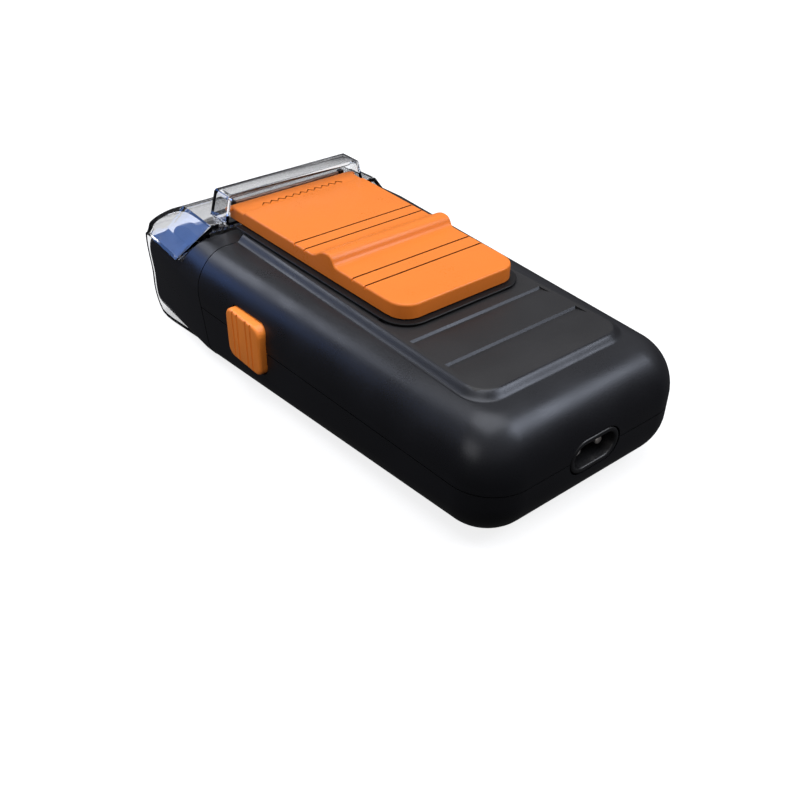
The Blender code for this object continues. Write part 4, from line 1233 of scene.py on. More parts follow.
@dataclass
class Inlet:
    """Two-pin charging inlet in the end face."""

    line: Layout
    mats: Palette
    rim: float = 1.2 * MM
    pin_tip: float = 0.35 * MM
    bowl: float = 6.6 * MM

    @staticmethod
    def loops(grow: float, ys: Sequence[float]) -> list[Ring]:
        """Stadium loops about the inlet's own outline.

        Args:
            grow: growth beyond the socket's outside.
            ys: one place for each loop.

        Returns:
            The loops.
        """
        low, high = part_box("inlet_socket")
        half_w = (high[0] - low[0]) / 2 + grow
        half_h = (high[2] - low[2]) / 2 + grow
        mid = (high[2] + low[2]) / 2
        rings = []
        for y in ys:
            ring = []
            for side in (1, -1):
                for step in range(25):
                    turn = side * (math.pi / 2 - math.pi * step / 24)
                    ring.append(Vector((side * (half_w - half_h + half_h * math.cos(turn)),
                                        y, mid + half_h * math.sin(turn))))
            rings.append(ring)
        return rings

    def build(self) -> None:
        """Make the socket and both pins."""
        near = self.line.base_y
        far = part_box("inlet_socket")[1][1]
        rings = self.loops(0.0, (far,)) + self.loops(0.0, (near + 0.35 * MM,))
        for grow, step in ((-0.1, 0.1), (-0.35, 0.0), (-0.85, 0.0), (-1.1, 0.12),
                           (-1.2, 0.4)):
            rings += self.loops(grow * MM, (near + step * MM,))
        rings += self.loops(-self.rim, (near + self.bowl,))
        socket = Forge.loft("charging_socket", rings, 50.0)
        for tag in ("left", "right"):
            low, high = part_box(f"inlet_pin_{tag}")
            x, z = (low[0] + high[0]) / 2, (low[2] + high[2]) / 2
            radius = (high[0] - low[0]) / 2
            pin = Screws.bar(f"charging_pin_{tag}", 0.0, 0.0,
                             ((radius * 0.45, 0.0), (radius * 0.85, self.pin_tip * 0.4),
                              (radius, self.pin_tip), (radius, high[1] - low[1])), 24)
            pin.data.transform(Matrix.Translation((x, low[1], z))
                               @ Matrix.Rotation(-math.pi / 2, 4, "X"))
            dress(pin, self.mats.brass, "housing", "brass", f"inlet_pin_{tag}")
        dress(socket, self.mats.grey, "housing", "grey", "inlet_socket")


@dataclass
class Buttons:
    """Ribbed release buttons on both sides."""

    mats: Palette
    corner: float = 2.6 * MM
    edge: float = 0.75 * MM
    groove: float = 0.42 * MM
    pair: float = 2.1 * MM
    spread: float = 6.0 * MM
    edge_steps: int = 6

    def build(self) -> None:
        """Make both buttons."""
        for side, tag in ((-1, "left"), (1, "right")):
            low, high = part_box(f"release_button_{tag}")
            mid_y, mid_z = (low[1] + high[1]) / 2, (low[2] + high[2]) / 2
            half_y, half_z = (high[1] - low[1]) / 2, (high[2] - low[2]) / 2
            outer = max(abs(low[0]), abs(high[0]))
            inner = min(abs(low[0]), abs(high[0]))
            rings = []
            levels = [(inner, 0.0)]
            for step in range(self.edge_steps + 1):
                turn = math.pi / 2 * step / self.edge_steps
                levels.append((outer - self.edge * (1 - math.sin(turn)),
                               self.edge * (1 - math.cos(turn))))
            for x, draw in levels:
                loop = Forge.rounded_rect(half_y - draw, half_z - draw,
                                          self.corner - draw * 0.6)
                rings.append([Vector((side * x, mid_y + a, mid_z + b)) for a, b in loop])
            button = Forge.loft(f"button_{tag}", rings)
            for shift in (-self.spread / 2 - self.pair / 2, self.spread / 2 - self.pair / 2):
                bar = Screws.bar("groove", 0.0, 0.0, ((self.groove, -half_z - MM),
                                                      (self.groove, half_z + MM)), 12)
                RowTree.repeat(bar, 2, (side * (outer + 0.12 * MM), mid_y + shift, mid_z),
                               (0.0, self.pair, 0.0))
                bar.data.materials.clear()
                Forge.combine(button, bar)
            dress(button, self.mats.button, f"button_{tag}", "orange", f"release_button_{tag}")


@dataclass
class Slide:
    """Orange trimmer slide with its black runner."""

    mats: Palette
    taper: float = 0.024
    corner: float = 5.0 * MM
    edge: float = 0.55 * MM
    ridge_back: float = 27.7 * MM
    ridge_high: float = 2.4 * MM
    groove: float = 0.22 * MM
    groove_deep: float = 0.45 * MM
    grooves: tuple[float, ...] = (40.2 * MM, 36.1 * MM, 17.6 * MM, 13.1 * MM)
    band: float = 7.2 * MM
    band_drop: float = 0.5 * MM
    flare: float = 1.7 * MM
    lug_near: float = 18.0 * MM
    lug_far: float = 20.2 * MM
    zigzag_teeth: int = 11
    zigzag_from: float = -12.3 * MM
    zigzag_to: float = 13.1 * MM
    arc_steps: int = 12
    base_y: float = field(init=False)
    head_y: float = field(init=False)
    low_z: float = field(init=False)
    top_z: float = field(init=False)
    head_half: float = field(init=False)

    def __post_init__(self) -> None:
        """Take the slide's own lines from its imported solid."""
        low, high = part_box("trimmer_slide")
        self.base_y, self.head_y, self.low_z = low[1], high[1], low[2]
        self.top_z = high[2] - self.ridge_high
        self.head_half = high[0]

    def half(self, y: float) -> float:
        """Half width at one place along the slide."""
        return self.head_half - self.taper * (self.head_y - y)

    def profile(self) -> list[Point2]:
        """Side view of the top, with ridge, band and grooves.

        Returns:
            Places and heights, from the charging end to the head.
        """
        crest = self.base_y + self.ridge_back
        ridge = [(-5.9, 0.0), (-4.4, 0.04), (-3.5, 0.22), (-2.9, 0.75), (-2.4, 1.6), (-1.7, 2.2),
                 (-0.7, 2.4), (0.6, 2.3), (2.0, 1.75), (3.4, 0.9), (4.6, 0.28), (6.0, 0.0)]
        scale = self.ridge_high / (2.4 * MM)
        points = [(self.base_y + self.corner + MM, 0.0)]
        points += Forge.curve([(crest + a * MM, b * MM * scale) for a, b in ridge], 3)
        start = self.head_y - self.band
        points += [(start, 0.0)]
        points += [(start + 0.25 * MM * k, -self.band_drop * (1 - math.cos(math.pi * k / 4)) / 2)
                   for k in range(1, 5)]
        points += [(self.head_y - 1.2 * MM, -self.band_drop * 0.6)]
        for back in self.grooves:
            y = self.base_y + back
            for offset, deep in ((-1.15, 0.0), (-1.0, 1.0), (1.0, 1.0), (1.15, 0.0)):
                points.append((y + offset * self.groove, -deep * self.groove_deep))
        return sorted(points)

    def outline(self, inset: float, drop: float | None, grow: float = 0.0,
                flat: float = 0.0) -> Ring:
        """Plan loop of the slide.

        Args:
            inset: how far the loop is drawn in.
            drop: how far it lies below the top, or None for a level loop.
            grow: growth of the whole plate.
            flat: height of a level loop.

        Returns:
            The loop's points.
        """
        side = self.profile()
        radius = self.corner + grow - inset
        base = self.base_y - grow
        points = []
        for y, z in reversed([*side, (self.head_y - inset, side[-1][1])]):
            x = -(self.half(y) + grow - inset)
            points.append(Vector((x, y, flat if drop is None else self.top_z + z - drop)))
        centre_x = self.half(base) + grow - (self.corner + grow)
        for step in range(self.arc_steps + 1):
            turn = math.pi / 2 * step / self.arc_steps
            points.append(Vector((-(centre_x + radius * math.cos(turn)),
                                  base + (self.corner + grow) - radius * math.sin(turn),
                                  flat if drop is None else self.top_z - drop)))
        return points + [Vector((-p.x, p.y, p.z)) for p in reversed(points)]

    def tray(self, name: str, rings: Sequence[Ring]) -> bpy.types.Object:
        """Skin the loops; the last is closed by strips across the width.

        Args:
            name: the object's name.
            rings: loops from the underside up.

        Returns:
            The new object.
        """
        bm = bmesh.new()
        loops = [[bm.verts.new(p) for p in ring] for ring in rings]
        count = len(loops[0])
        for low, high in zip(loops, loops[1:]):
            for i in range(count):
                j = (i + 1) % count
                bm.faces.new((low[i], low[j], high[j], high[i]))
        bm.faces.new(list(reversed(loops[0])))
        top = loops[-1]
        for i in range(count // 2 - 1):
            bm.faces.new((top[i], top[i + 1], top[count - 2 - i], top[count - 1 - i]))
        return Forge.wrap(name, bm, 30.0)

    def build(self) -> None:
        """Make the slide and its runner."""
        rings = [self.outline(0.0, None, flat=self.low_z)]
        steps = 5
        for step in range(steps + 1):
            turn = math.pi / 2 * step / steps
            rings.append(self.outline(self.edge * (1 - math.cos(turn)),
                                      self.edge * (1 - math.sin(turn))))
        slide = self.tray("slide_skin", rings)
        low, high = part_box("trimmer_comb")
        Forge.combine(slide, Forge.block(
            "nest", (low[0] - 0.3 * MM, low[1] - 0.3 * MM, self.low_z - MM),
            (high[0] + 0.3 * MM, self.head_y + MM, high[2] + 0.3 * MM)), crease=30.0)
        for side in (-1, 1):
            near, far = sorted((side * self.lug_near, side * self.lug_far))
            Forge.combine(slide, Forge.block(
                "lug", (near, self.head_y - 1.5 * MM, self.top_z - 1.5 * MM),
                (far, self.head_y - 0.1 * MM, self.top_z - 0.6 * MM), 0.2 * MM, 2), "UNION", 30.0)
        self.engrave(slide)
        dress(slide, self.mats.orange, "trimmer_carriage", "orange", "trimmer_slide")
        self.runner()

    def engrave(self, slide: bpy.types.Object) -> None:
        """Cut the zigzag mark into the band at the head end, and paint shade into it and into the
        groove bottoms.
        """
        count = 2 * self.zigzag_teeth + 1
        step = (self.zigzag_to - self.zigzag_from) / (count - 1)
        bar = ZigzagTree.make("zigzag", {
            "Count": count, "Step": (step, 0.0, 0.0), "Rise": (0.0, 1.25 * MM, 0.0),
            "Start": (self.zigzag_from, self.head_y - 5.1 * MM, self.top_z - 0.56 * MM),
            "Width": 0.52 * MM})
        bar.data.materials.clear()
        Forge.combine(slide, bar, crease=30.0)
        mesh = slide.data
        mesh.materials.clear()
        mesh.materials.append(self.mats.orange)
        mesh.materials.append(self.mats.groove)
        # painted shade: faces deep in the grooves and faces of the zigzag mark get the darker
        # shaded_orange, standing in for the shade in these shallow cuts
        cuts = [self.base_y + back for back in self.grooves]
        for face in mesh.polygons:
            mid = face.center
            in_cut = any(abs(mid.y - y) < self.groove * 1.1 for y in cuts)
            in_cut = in_cut and abs(mid.x) < self.half(mid.y) - self.edge
            deep = in_cut and mid.z < self.top_z - self.groove_deep * 0.4
            in_mark = (self.head_y - 5.5 * MM < mid.y < self.head_y - 3.7 * MM
                       and self.zigzag_from - MM < mid.x < self.zigzag_to + MM
                       and self.top_z - 0.8 * MM < mid.z and face.area < 3 * MM * MM)
            face.material_index = 1 if (deep or in_mark) else 0

    def runner(self) -> None:
        """Make the black runner plate with its hook."""
        low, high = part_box("slide_runner")
        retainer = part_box("slide_retainer")
        plate_low = self.low_z - 0.3 * MM
        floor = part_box("upper_shell")[1][2] + 0.3 * MM
        grow = self.flare
        edge = 0.15 * MM
        rings = [self.outline(edge, None, grow, floor),
                 self.outline(0.0, None, grow, floor + edge)]
        rings += [self.outline(0.0, None, grow, plate_low - edge),
                  self.outline(edge, None, grow, plate_low)]
        plate = Forge.loft("runner_plate", rings)
        cut = Forge.block("end", (-60 * MM, high[1], 0.0),
                          (60 * MM, high[1] + 60 * MM, 60 * MM))
        Forge.combine(plate, cut)
        mid = (retainer[0][1] + retainer[1][1]) / 2
        hook = Forge.block("hook", (-2.5 * MM, mid - 2 * MM, low[2]), (2.5 * MM, mid + 2 * MM,
                                                                      floor + MM))
        Forge.combine(plate, hook, "UNION")
        dress(plate, self.mats.runner, "trimmer_carriage", "body", "slide_runner")


@dataclass
class Trimmer:
    """Comb, moving blade, rail and clamp of the long-hair trimmer."""

    mats: Palette
    tooth: float = 2.4 * MM
    ribs: int = 48
    rail_back: float = 2.1 * MM
    rail_wide: float = 1.0 * MM
    pad: float = 1.3 * MM

    def toothed(self, name: str, node: str, count: int, share: float) -> bpy.types.Object:
        """Blade plate with a row of pointed teeth.

        Args:
            name: the object's name.
            node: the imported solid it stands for.
            count: number of teeth.
            share: width of a tooth against its pitch.

        Returns:
            The new object.
        """
        low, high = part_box(node)
        pitch = (high[0] - low[0]) / count
        root = high[1] - self.tooth
        side = ((0.0, share / 2), (0.55, share * 0.42), (0.9, share * 0.25),
                (1.0, share * 0.12))
        outline = [(-w * pitch, root + self.tooth * t) for t, w in side]
        outline += [(w * pitch, root + self.tooth * t) for t, w in reversed(side)]
        tooth = Forge.loft(name, [[Vector((x, y, z)) for x, y in outline]
                                  for z in (low[2], high[2])])
        RowTree.repeat(tooth, count, (low[0] + pitch / 2, 0.0, 0.0), (pitch, 0.0, 0.0),
                       self.mats.steel)
        plate = Forge.block("plate", low, (high[0], root + 0.01 * MM, high[2]),
                            0.08 * MM, 1)
        return Forge.join(tooth, plate)

    def build(self) -> None:
        """Make every trimmer piece."""
        comb = self.toothed("trimmer_comb_teeth", "trimmer_comb", 24, 0.66)
        low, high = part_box("trimmer_comb")
        slide_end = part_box("trimmer_slide")[1][1]
        pitch = (high[0] - low[0]) / self.ribs
        rib = Forge.block("rib", (-pitch * 0.28, slide_end - 0.2 * MM, high[2] - 0.1 * MM),
                          (pitch * 0.28, slide_end + 1.0 * MM, high[2] + 0.22 * MM), 0.06 * MM, 1)
        RowTree.repeat(rib, self.ribs, (low[0] + pitch / 2, 0.0, 0.0), (pitch, 0.0, 0.0),
                       self.mats.steel)
        dress(Forge.join(comb, rib), self.mats.steel, "trimmer_carriage", "steel",
              "trimmer_comb")
        blade = self.toothed("trimmer_blade_teeth", "trimmer_blade", 21, 0.6)
        dress(blade, self.mats.steel, "moving_trimmer", "steel", "trimmer_blade")
        self.rail(low, high, slide_end)
        under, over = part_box("trimmer_clamp")
        clamp = Forge.block("clamp_bar", under, over, 0.3 * MM)
        dress(clamp, self.mats.bronze, "trimmer_carriage", "bronze", "trimmer_clamp")

    def rail(self, low: Vector, high: Vector, slide_end: float) -> None:
        """Brown rail across the comb, with a black pad at each end.

        Args:
            low: lowest corner of the comb.
            high: highest corner of the comb.
            slide_end: head end of the slide.
        """
        start = slide_end + self.rail_back - self.rail_wide
        rail = Forge.block("comb_rail", (low[0] + self.pad, start, high[2] - 0.05 * MM),
                           (high[0] - self.pad, start + self.rail_wide, high[2] + 0.75 * MM),
                           0.3 * MM, 4)
        dress(rail, self.mats.bronze, "trimmer_carriage", "bronze")
        pad = Forge.block("comb_pads", (0.0, start - 0.3 * MM, high[2] - 0.05 * MM),
                          (self.pad, start + self.rail_wide + 0.4 * MM, high[2] + 1.1 * MM),
                          0.15 * MM, 2)
        RowTree.repeat(pad, 2, (low[0], 0.0, 0.0), (high[0] - low[0] - self.pad, 0.0, 0.0),
                       self.mats.body)
        dress(pad, self.mats.body, "trimmer_carriage", "body")


@dataclass
class Head:
    """Black shaving-head housing and perforated foil."""

    line: Layout
    house: Housing
    mats: Palette
    taper: float = 0.06
    cheek_in: float = 27.6 * MM
    cheek_reach: float = 0.985
    collar_y: float = 45.8 * MM
    collar_lean: float = 0.52
    cap_wall: float = 1.1 * MM
    rear_y: float = 37.3 * MM
    top_y: float = 41.8 * MM
    hip_y: float = 47.0 * MM
    top_z: float = 32.2 * MM
    rim_z: float = 23.0 * MM
    facet_in: float = 8.8 * MM
    foil_pitch: float = 0.78 * MM
    foil_open: float = 0.74
    foil_wall: float = 0.06 * MM
    steps: int = 18

    def half(self, y: float) -> float:
        """Half width of the head at one place along it."""
        if y < self.line.joint_y:
            return self.line.half(y)
        return self.line.joint_half - self.taper * (y - self.line.joint_y)

    def nose(self, steps: int, inset: float = 0.0) -> list[Point2]:
        """Side view of the cap, from its rear lip round to its top edge.

        Args:
            steps: samples between two stated places.
            inset: how far inside the outer surface it runs.

        Returns:
            The curve's points.
        """
        front = self.line.nose_y
        bend = [(-7.9, 0.0), (-4.0, 0.9), (-1.8, 3.4), (-0.9, 7.0), (-1.2, 12.0), (-0.4, 16.5),
                (0.0, 20.0), (-0.4, self.rim_z / MM), (-1.6, 26.0), (-3.8, 28.8), (-7.0, 30.9),
                (-12.4, 31.9)]
        stated = [(self.rear_y, 0.0)] + [(front + a * MM, b * MM) for a, b in bend]
        stated += [(self.top_y, self.top_z)]
        path = Forge.curve(self.draw_in(stated, inset) if inset else stated, steps)
        return [(y, max(z, inset)) for y, z in path]

    @staticmethod
    def draw_in(path: Sequence[Point2], distance: float) -> list[Point2]:
        """Draw an open side-view path in by a set distance.

        Args:
            path: the curve's points.
            distance: how far inwards.

        Returns:
            The moved points.
        """
        moved = []
        for index, (y, z) in enumerate(path):
            y0, z0 = path[max(index - 1, 0)]
            y1, z1 = path[min(index + 1, len(path) - 1)]
            run = math.hypot(y1 - y0, z1 - z0)
            moved.append((y - distance * (z1 - z0) / run, z + distance * (y1 - y0) / run))
        return moved

    def section(self, front: float) -> Ring:
        """Loop round the whole body section.

        Args:
            front: place of the loop along the body.

        Returns:
            The loop's points.
        """
        half = self.half(front)
        low, down = self.house.bottom_head, self.house.shoulder_down
        points = []
        for step in range(self.steps + 1):
            turn = math.pi / 2 * (1 - step / self.steps)
            points.append((half - low * (1 - math.cos(turn)), low * (1 - math.sin(turn))))
        start = self.house.shoulder_z - down
        for step in range(self.steps + 1):
            turn = math.pi / 2 * step / self.steps
            points.append((half - self.house.shoulder_in * (1 - math.cos(turn)),
                           start + down * math.sin(turn)))
        points += [(-x, z) for x, z in reversed(points)]
        return [Vector((x, front, z)) for x, z in points]

    def side_view(self) -> list[Point2]:
        """Side view of the housing: collar behind, cheeks in front under the cap."""
        joint, gap = self.line.joint_y, self.line.gap
        lip = self.cap_wall + gap
        inner = [(joint + (y - joint) * self.cheek_reach, z)
                 for y, z in self.nose(4, lip) if lip + gap < z < self.rim_z - 2 * MM]
        top = self.rim_z - gap
        roof = self.house.shoulder_z + MM
        seam = joint + gap
        points = [(seam, self.house.seam_z), (seam - self.house.seam_back(-MM), -MM)]
        points += [(self.rear_y - gap, -MM), (self.rear_y - gap, lip)]
        points += [(inner[0][0] - 4 * MM, lip)] + inner
        points += [(inner[-1][0] - 0.3 * MM, top - MM)]
        points += [(inner[-1][0] - 1.2 * MM, top), (self.collar_y, top)]
        points += [(self.collar_y - self.collar_lean * (roof - top), roof), (seam, roof)]
        return points

    def build(self) -> None:
        """Make the housing and the foil."""
        gap = self.line.gap
        joint = self.line.joint_y
        far = self.line.nose_y + 9 * MM
        back = joint - 6 * MM
        shell = Forge.loft("head_housing", [self.section(back), self.section(joint),
                                            self.section(far)])
        span = 60 * MM
        view = Forge.loft("side_view", [[Vector((x, y, z)) for y, z in self.side_view()]
                                        for x in (-span, span)])
        Forge.combine(shell, view, "INTERSECT")
        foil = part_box("shaving_foil")
        Forge.combine(shell, Forge.block("tunnel", (-self.cheek_in, back, 4.4 * MM),
                                         (self.cheek_in, far, foil[1][2] + 0.9 * MM)))
        Forge.combine(shell, Forge.block("bulkhead_room", (-self.cheek_in, back, 1.7 * MM),
                                         (self.cheek_in, joint - 0.05 * MM, self.top_z)))
        Forge.combine(shell, Forge.block("roof", (-self.cheek_in, self.top_y + gap,
                                                  foil[1][2] - 9 * MM),
                                         (self.cheek_in, far, 45 * MM)))
        dress(shell, self.mats.body, "shaving_head", "body", "head_frame")
        self.foil(foil)

    def foil(self, box: Sequence[Vector]) -> None:
        """Perforated foil sheet, with plain strips along its held edges.

        Args:
            box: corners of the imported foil.
        """
        low, high = box
        radius = 9.0 * MM
        start, stop = math.radians(-60.0), math.radians(90.0)
        centre = (0.0, high[1] - radius, high[2] - radius)
        margin = 1.4 * MM
        sheet = LatticeTree.make("foil_lattice", {
            "Width": high[0] - low[0] - margin, "Length": (stop - start) * radius - margin,
            "Pitch": self.foil_pitch, "Radius": radius - 0.06 * MM,
            "Start": start + margin / radius / 2, "Centre": centre, "Bridge": self.foil_open,
            "Material": self.mats.foil})
        bm = bmesh.new()
        for first, last in ((start, start + 0.2), (stop - 0.2, stop)):
            rows = []
            for step in range(5):
                turn = first + (last - first) * step / 4
                y, z = centre[1] + radius * math.cos(turn), centre[2] + radius * math.sin(turn)
                rows.append((bm.verts.new((low[0], y, z)), bm.verts.new((high[0], y, z))))
            for (a, b), (c, d) in zip(rows, rows[1:]):
                bm.faces.new((a, b, d, c))
        strips = Forge.wrap("foil_strips", bm)
        foil = Forge.join(sheet, strips)
        mod = foil.modifiers.new("Wall", "SOLIDIFY")
        mod.thickness = self.foil_wall
        mod.offset = -1.0
        Forge.bake(foil, 60.0)
        dress(foil, self.mats.foil, "shaving_head", "foil", "shaving_foil")


@dataclass
class Cap:
    """Clear cap with slanting side facets and the trimmer guard."""

    head: Head
    mats: Palette
    guard_half: float = 20.6 * MM
    splay: float = 1.8 * MM
    guard_from: float = 41.9 * MM
    guard_to: float = 48.9 * MM
    guard_wall: float = 0.9 * MM
    foot_z: float = 31.0 * MM
    edge: float = 0.5 * MM
    curve_steps: int = 5
    columns: int = 3
    tuck: float = 3.2 * MM
    tuck_from: float = 58.0 * MM
    tuck_run: float = 20.0 * MM
    facet_z: float = 31.4 * MM
    facet_ease: float = 2.2
    facet_least: float = 0.12

    def rows(self, path: Sequence[Point2], draw: float) -> list[Ring]:
        """Rows of points across the cap.

        Args:
            path: side view of the surface.
            draw: how far inside the outer surface it is.

        Returns:
            The rows.
        """
        head = self.head
        rows = []
        for y, z in path:
            above = z > head.rim_z
            place = max(y, head.hip_y) if above else y
            tuck = self.tuck * min(max((self.tuck_from - y) / self.tuck_run, 0.0), 1.0)
            edge = head.half(y) - (draw if above else tuck)
            outer = Vector((-edge, place, head.rim_z if above else z))
            rise = min(max((z - head.rim_z) / (self.facet_z - head.rim_z), 0.0), 1.0)
            lean = head.facet_in * max(rise ** self.facet_ease, self.facet_least)
            inner = Vector((-head.half(y) + draw + lean + (0.0 if above else tuck), y, z))
            half = [outer.lerp(inner, k / self.columns) for k in range(self.columns)]
            half += [inner]
            rows.append(half + [Vector((-p.x, p.y, p.z)) for p in reversed(half)])
        return rows

    def sheet(self) -> bpy.types.Object:
        """Bent wall of the cap, without the guard."""
        path = self.head.nose(self.curve_steps)
        bm = bmesh.new()
        outer = [[bm.verts.new(p) for p in row] for row in self.rows(path, 0.0)]
        wall = self.head.cap_wall
        inside = self.head.nose(self.curve_steps, wall)
        inner = [[bm.verts.new(p) for p in row] for row in self.rows(inside, wall)]
        across = len(outer[0])
        for rows, flip in ((outer, False), (inner, True)):
            for low, high in zip(rows, rows[1:]):
                for i in range(across - 1):
                    face = (low[i], low[i + 1], high[i + 1], high[i])
                    bm.faces.new(tuple(reversed(face)) if flip else face)
        rims = []
        for rows in (outer, inner):
            rim = [row[0] for row in rows] + rows[-1][1:] + [row[-1] for row in rows[-2::-1]]
            rims.append(rim + rows[0][across - 2:0:-1])
        count = len(rims[0])
        for i in range(count):
            j = (i + 1) % count
            bm.faces.new((rims[0][i], rims[0][j], rims[1][j], rims[1][i]))
        return Forge.wrap("cap_sheet", bm, 30.0)

    def guard_rings(self, grow: float, near: float, far: float, low: float,
                    high: float) -> list[Ring]:
        """Loops of the guard box, splayed towards its foot.

        Args:
            grow: growth of the box on each side.
            near: its rear.
            far: its front.
            low: its foot.
            high: its top.

        Returns:
            The loops.
        """
        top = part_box("clear_cap")[1][2]
        rings = []
        for z, drop in ((low, 0.0), (high - 0.9 * MM, 0.0), (high - 0.27 * MM, 0.27 * MM),
                        (high, 0.9 * MM)):
            splay = self.splay * (top - z) / (top - self.foot_z)
            half = self.guard_half + grow + splay - drop
            back = far + splay * 0.4 - drop
            rings.append([Vector((-half, near, z)), Vector((half, near, z)),
                          Vector((half, back, z)), Vector((-half, back, z))])
        return rings

    def build(self) -> None:
        """Make the whole cap."""
        cap = Forge.soften(self.sheet(), self.edge, 3, 50.0, 30.0)
        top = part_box("clear_cap")[1][2]
        guard = Forge.loft("guard", self.guard_rings(0.0, self.guard_from, self.guard_to,
                                                     self.foot_z, top))
        hollow = Forge.loft("guard_room", self.guard_rings(
            -self.guard_wall, self.guard_from - 3 * MM, self.guard_to - self.guard_wall,
            self.foot_z - 2 * MM, top - self.guard_wall))
        Forge.combine(cap, guard, "UNION", 30.0)
        Forge.combine(cap, hollow, crease=30.0)
        cap.name = "cap_clear_shell"
        dress(cap, self.mats.clear, "cap", "clear", "clear_cap")


class Inside:
    """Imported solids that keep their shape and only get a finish."""

    FINISHES = {
        "grey": ("chassis", "front_bulkhead", "slide_retainer"),
        "white": ("drive_yoke", "cutter_carrier"),
        "steel": ("motor_can", "motor_shaft", "cutter_blades", "button_spring_left",
                  "button_spring_right"),
        "body": ("foil_frame",),
        "cell": ("battery_cell_left", "battery_cell_right"),
        "board": ("circuit_board",),
    }

    def __init__(self, frame: dict, mats: Palette) -> None:
        """Keep the frame and the finishes.

        Args:
            mats: the finishes.
        """
        self.nodes = frame["nodes"]
        self.mats = mats

    def build(self) -> None:
        """Dress every kept solid, and give the rest a finish that nothing shows."""
        chosen = {node: key for key, names in self.FINISHES.items() for node in names}
        for name, obj in self.nodes.items():
            mat = getattr(self.mats, chosen.get(name, "body"))
            for slot in obj.material_slots:
                slot.material = mat
            LOG.info("%s dressed as %s", name, mat.name)


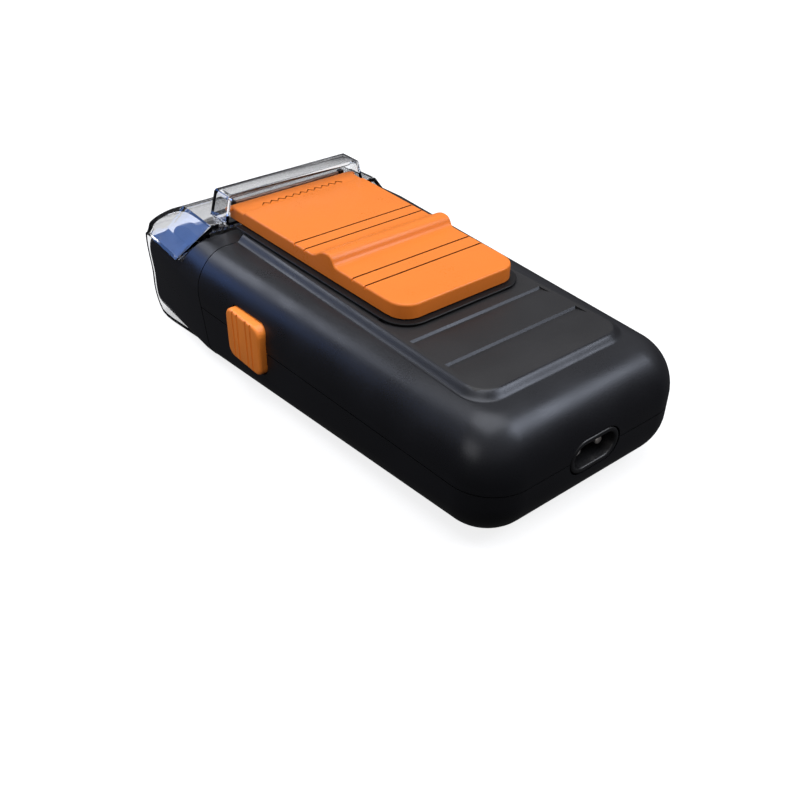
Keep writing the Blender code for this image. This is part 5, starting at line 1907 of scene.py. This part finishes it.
@dataclass
class Studio:
    """Camera, pale floor and soft lights."""

    mats: Palette
    offset: tuple[float, float, float] = (-0.12785, -0.15827, 0.11747)
    back: tuple[float, float, float] = (-0.515, -0.625, 0.586)
    roll: float = 0.021
    lens: float = 42.07
    floor_half: float = 3.0
    sky_low: tuple[float, float, float] = (0.03, 0.03, 0.03)
    sky_rim: tuple[float, float, float] = (0.09, 0.09, 0.1)
    sky_mid: tuple[float, float, float] = (0.5, 0.5, 0.53)
    sky_top: tuple[float, float, float] = (0.75, 0.76, 0.8)
    backdrop: tuple[float, float, float] = (1.0, 1.0, 1.0)

    def camera(self) -> None:
        """Make the camera and make it the scene's."""
        low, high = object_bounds()
        back = Vector(self.back).normalized()
        level = Vector((0, 0, 1)).cross(back).normalized()
        right = level + Vector((0, 0, self.roll))
        right = (right - back * right.dot(back)).normalized()
        up = back.cross(right)
        data = bpy.data.cameras.new("Camera")
        data.lens = self.lens
        data.sensor_width = 36.0
        data.clip_start = 0.005
        data.clip_end = 20.0
        cam = bpy.data.objects.new("Camera", data)
        place = Matrix((right, up, back)).transposed().to_4x4()
        place.translation = (low + high) / 2 + Vector(self.offset)
        cam.matrix_world = place
        bpy.context.scene.collection.objects.link(cam)
        bpy.context.scene.camera = cam

    def floor(self) -> None:
        """Make the floor, curved up behind nothing; it is one pale sheet."""
        half = self.floor_half
        bm = bmesh.new()
        bmesh.ops.create_grid(bm, x_segments=8, y_segments=8, size=half,
                              matrix=Matrix.Translation((0, 0, -0.2 * MM)))
        floor = Forge.wrap("Floor", bm)
        for face in floor.data.polygons:
            if face.normal.z < 0:
                floor.data.flip_normals()
                break
        floor.data.materials.append(self.mats.floor)
        floor.visible_glossy = False
        floor.visible_diffuse = False
        floor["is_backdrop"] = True

    def light(self, name: str, place: Sequence[float], aim: Sequence[float], size: Point2,
              radiance: float, colour: Sequence[float] = (1.0, 1.0, 1.0)) -> None:
        """Make one soft box.

        Args:
            name: the light's name.
            place: where it stands.
            aim: the point it faces.
            size: its width and height.
            radiance: brightness of its face.
            colour: its colour.
        """
        data = bpy.data.lights.new(name, "AREA")
        data.shape = "RECTANGLE"
        data.size, data.size_y = size
        data.energy = radiance * math.pi * size[0] * size[1]
        data.color = colour
        lamp = bpy.data.objects.new(name, data)
        lamp.location = place
        lamp.rotation_mode = "QUATERNION"
        lamp.rotation_quaternion = (Vector(place) - Vector(aim)).to_track_quat("Z", "Y")
        bpy.context.scene.collection.objects.link(lamp)

    def sky(self) -> None:
        """Dome that darkens towards the horizon, behind a plain white backdrop."""
        world = bpy.data.worlds.new("Soft_sky")
        world.use_nodes = True
        tree = world.node_tree
        coords = tree.nodes.new("ShaderNodeTexCoord")
        split = tree.nodes.new("ShaderNodeSeparateXYZ")
        span = tree.nodes.new("ShaderNodeMapRange")
        span.inputs["From Min"].default_value = -1.0
        ramp = tree.nodes.new("ShaderNodeValToRGB")
        ramp.color_ramp.elements[0].color = (*self.sky_low, 1.0)
        ramp.color_ramp.elements[1].color = (*self.sky_top, 1.0)
        ramp.color_ramp.elements.new(0.55).color = (*self.sky_rim, 1.0)
        ramp.color_ramp.elements.new(0.79).color = (*self.sky_mid, 1.0)
        tree.links.new(coords.outputs["Generated"], split.inputs["Vector"])
        tree.links.new(split.outputs["Z"], span.inputs["Value"])
        tree.links.new(span.outputs["Result"], ramp.inputs["Fac"])
        dome = tree.nodes["Background"]
        tree.links.new(ramp.outputs["Color"], dome.inputs["Color"])
        backdrop = tree.nodes.new("ShaderNodeBackground")
        backdrop.inputs["Color"].default_value = (*self.backdrop, 1.0)
        rays = tree.nodes.new("ShaderNodeLightPath")
        mix = tree.nodes.new("ShaderNodeMixShader")
        tree.links.new(rays.outputs["Is Camera Ray"], mix.inputs[0])
        tree.links.new(dome.outputs["Background"], mix.inputs[1])
        tree.links.new(backdrop.outputs["Background"], mix.inputs[2])
        tree.links.new(mix.outputs["Shader"], tree.nodes["World Output"].inputs["Surface"])
        bpy.context.scene.world = world

    def lights(self) -> None:
        """Light the scene: a broad top box, a cool side box and an end box."""
        self.sky()
        self.light("Top_box", (0.0, 0.1, 1.2), (0, 0, 0), (1.0, 1.0), 3.6)
        self.light("Side_box", (-0.27, 0.76, 0.64), (0, 0.0, 0.02), (0.42, 0.26), 5.4,
                   (0.86, 0.9, 1.0))
        self.light("Left_box", (-0.9, -0.1, 0.4), (0, 0.0, 0.02), (0.5, 0.4), 2.2,
                   (1.0, 0.97, 0.92))
        self.light("Blue_box", (-0.325, 0.548, 0.197), (-0.03, 0.055, 0.028), (0.3, 0.2), 2.6,
                   (0.16, 0.36, 1.0))
        self.light("End_box", (0.51, -0.5, 0.76), (0, -0.06, 0.02), (0.5, 0.5), 7.5,
                   (0.88, 0.92, 1.0))
        bpy.context.scene.view_settings.view_transform = "Standard"


def main() -> None:
    """Build the whole shaver in order."""
    logging.basicConfig(level=logging.INFO, format="%(name)s %(message)s")
    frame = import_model()
    mats = Palette.mix()
    studio = Studio(mats)
    studio.camera()
    line = Layout.measure()
    Inside(frame, mats).build()
    house = Housing(line, mats)
    house.upper()
    house.lower()
    Screws(mats).build()
    Inlet(line, mats).build()
    Buttons(mats).build()
    Slide(mats).build()
    Trimmer(mats).build()
    head = Head(line, house, mats)
    head.build()
    Cap(head, mats).build()
    studio.floor()
    studio.lights()


if __name__ == "__main__":
    main()
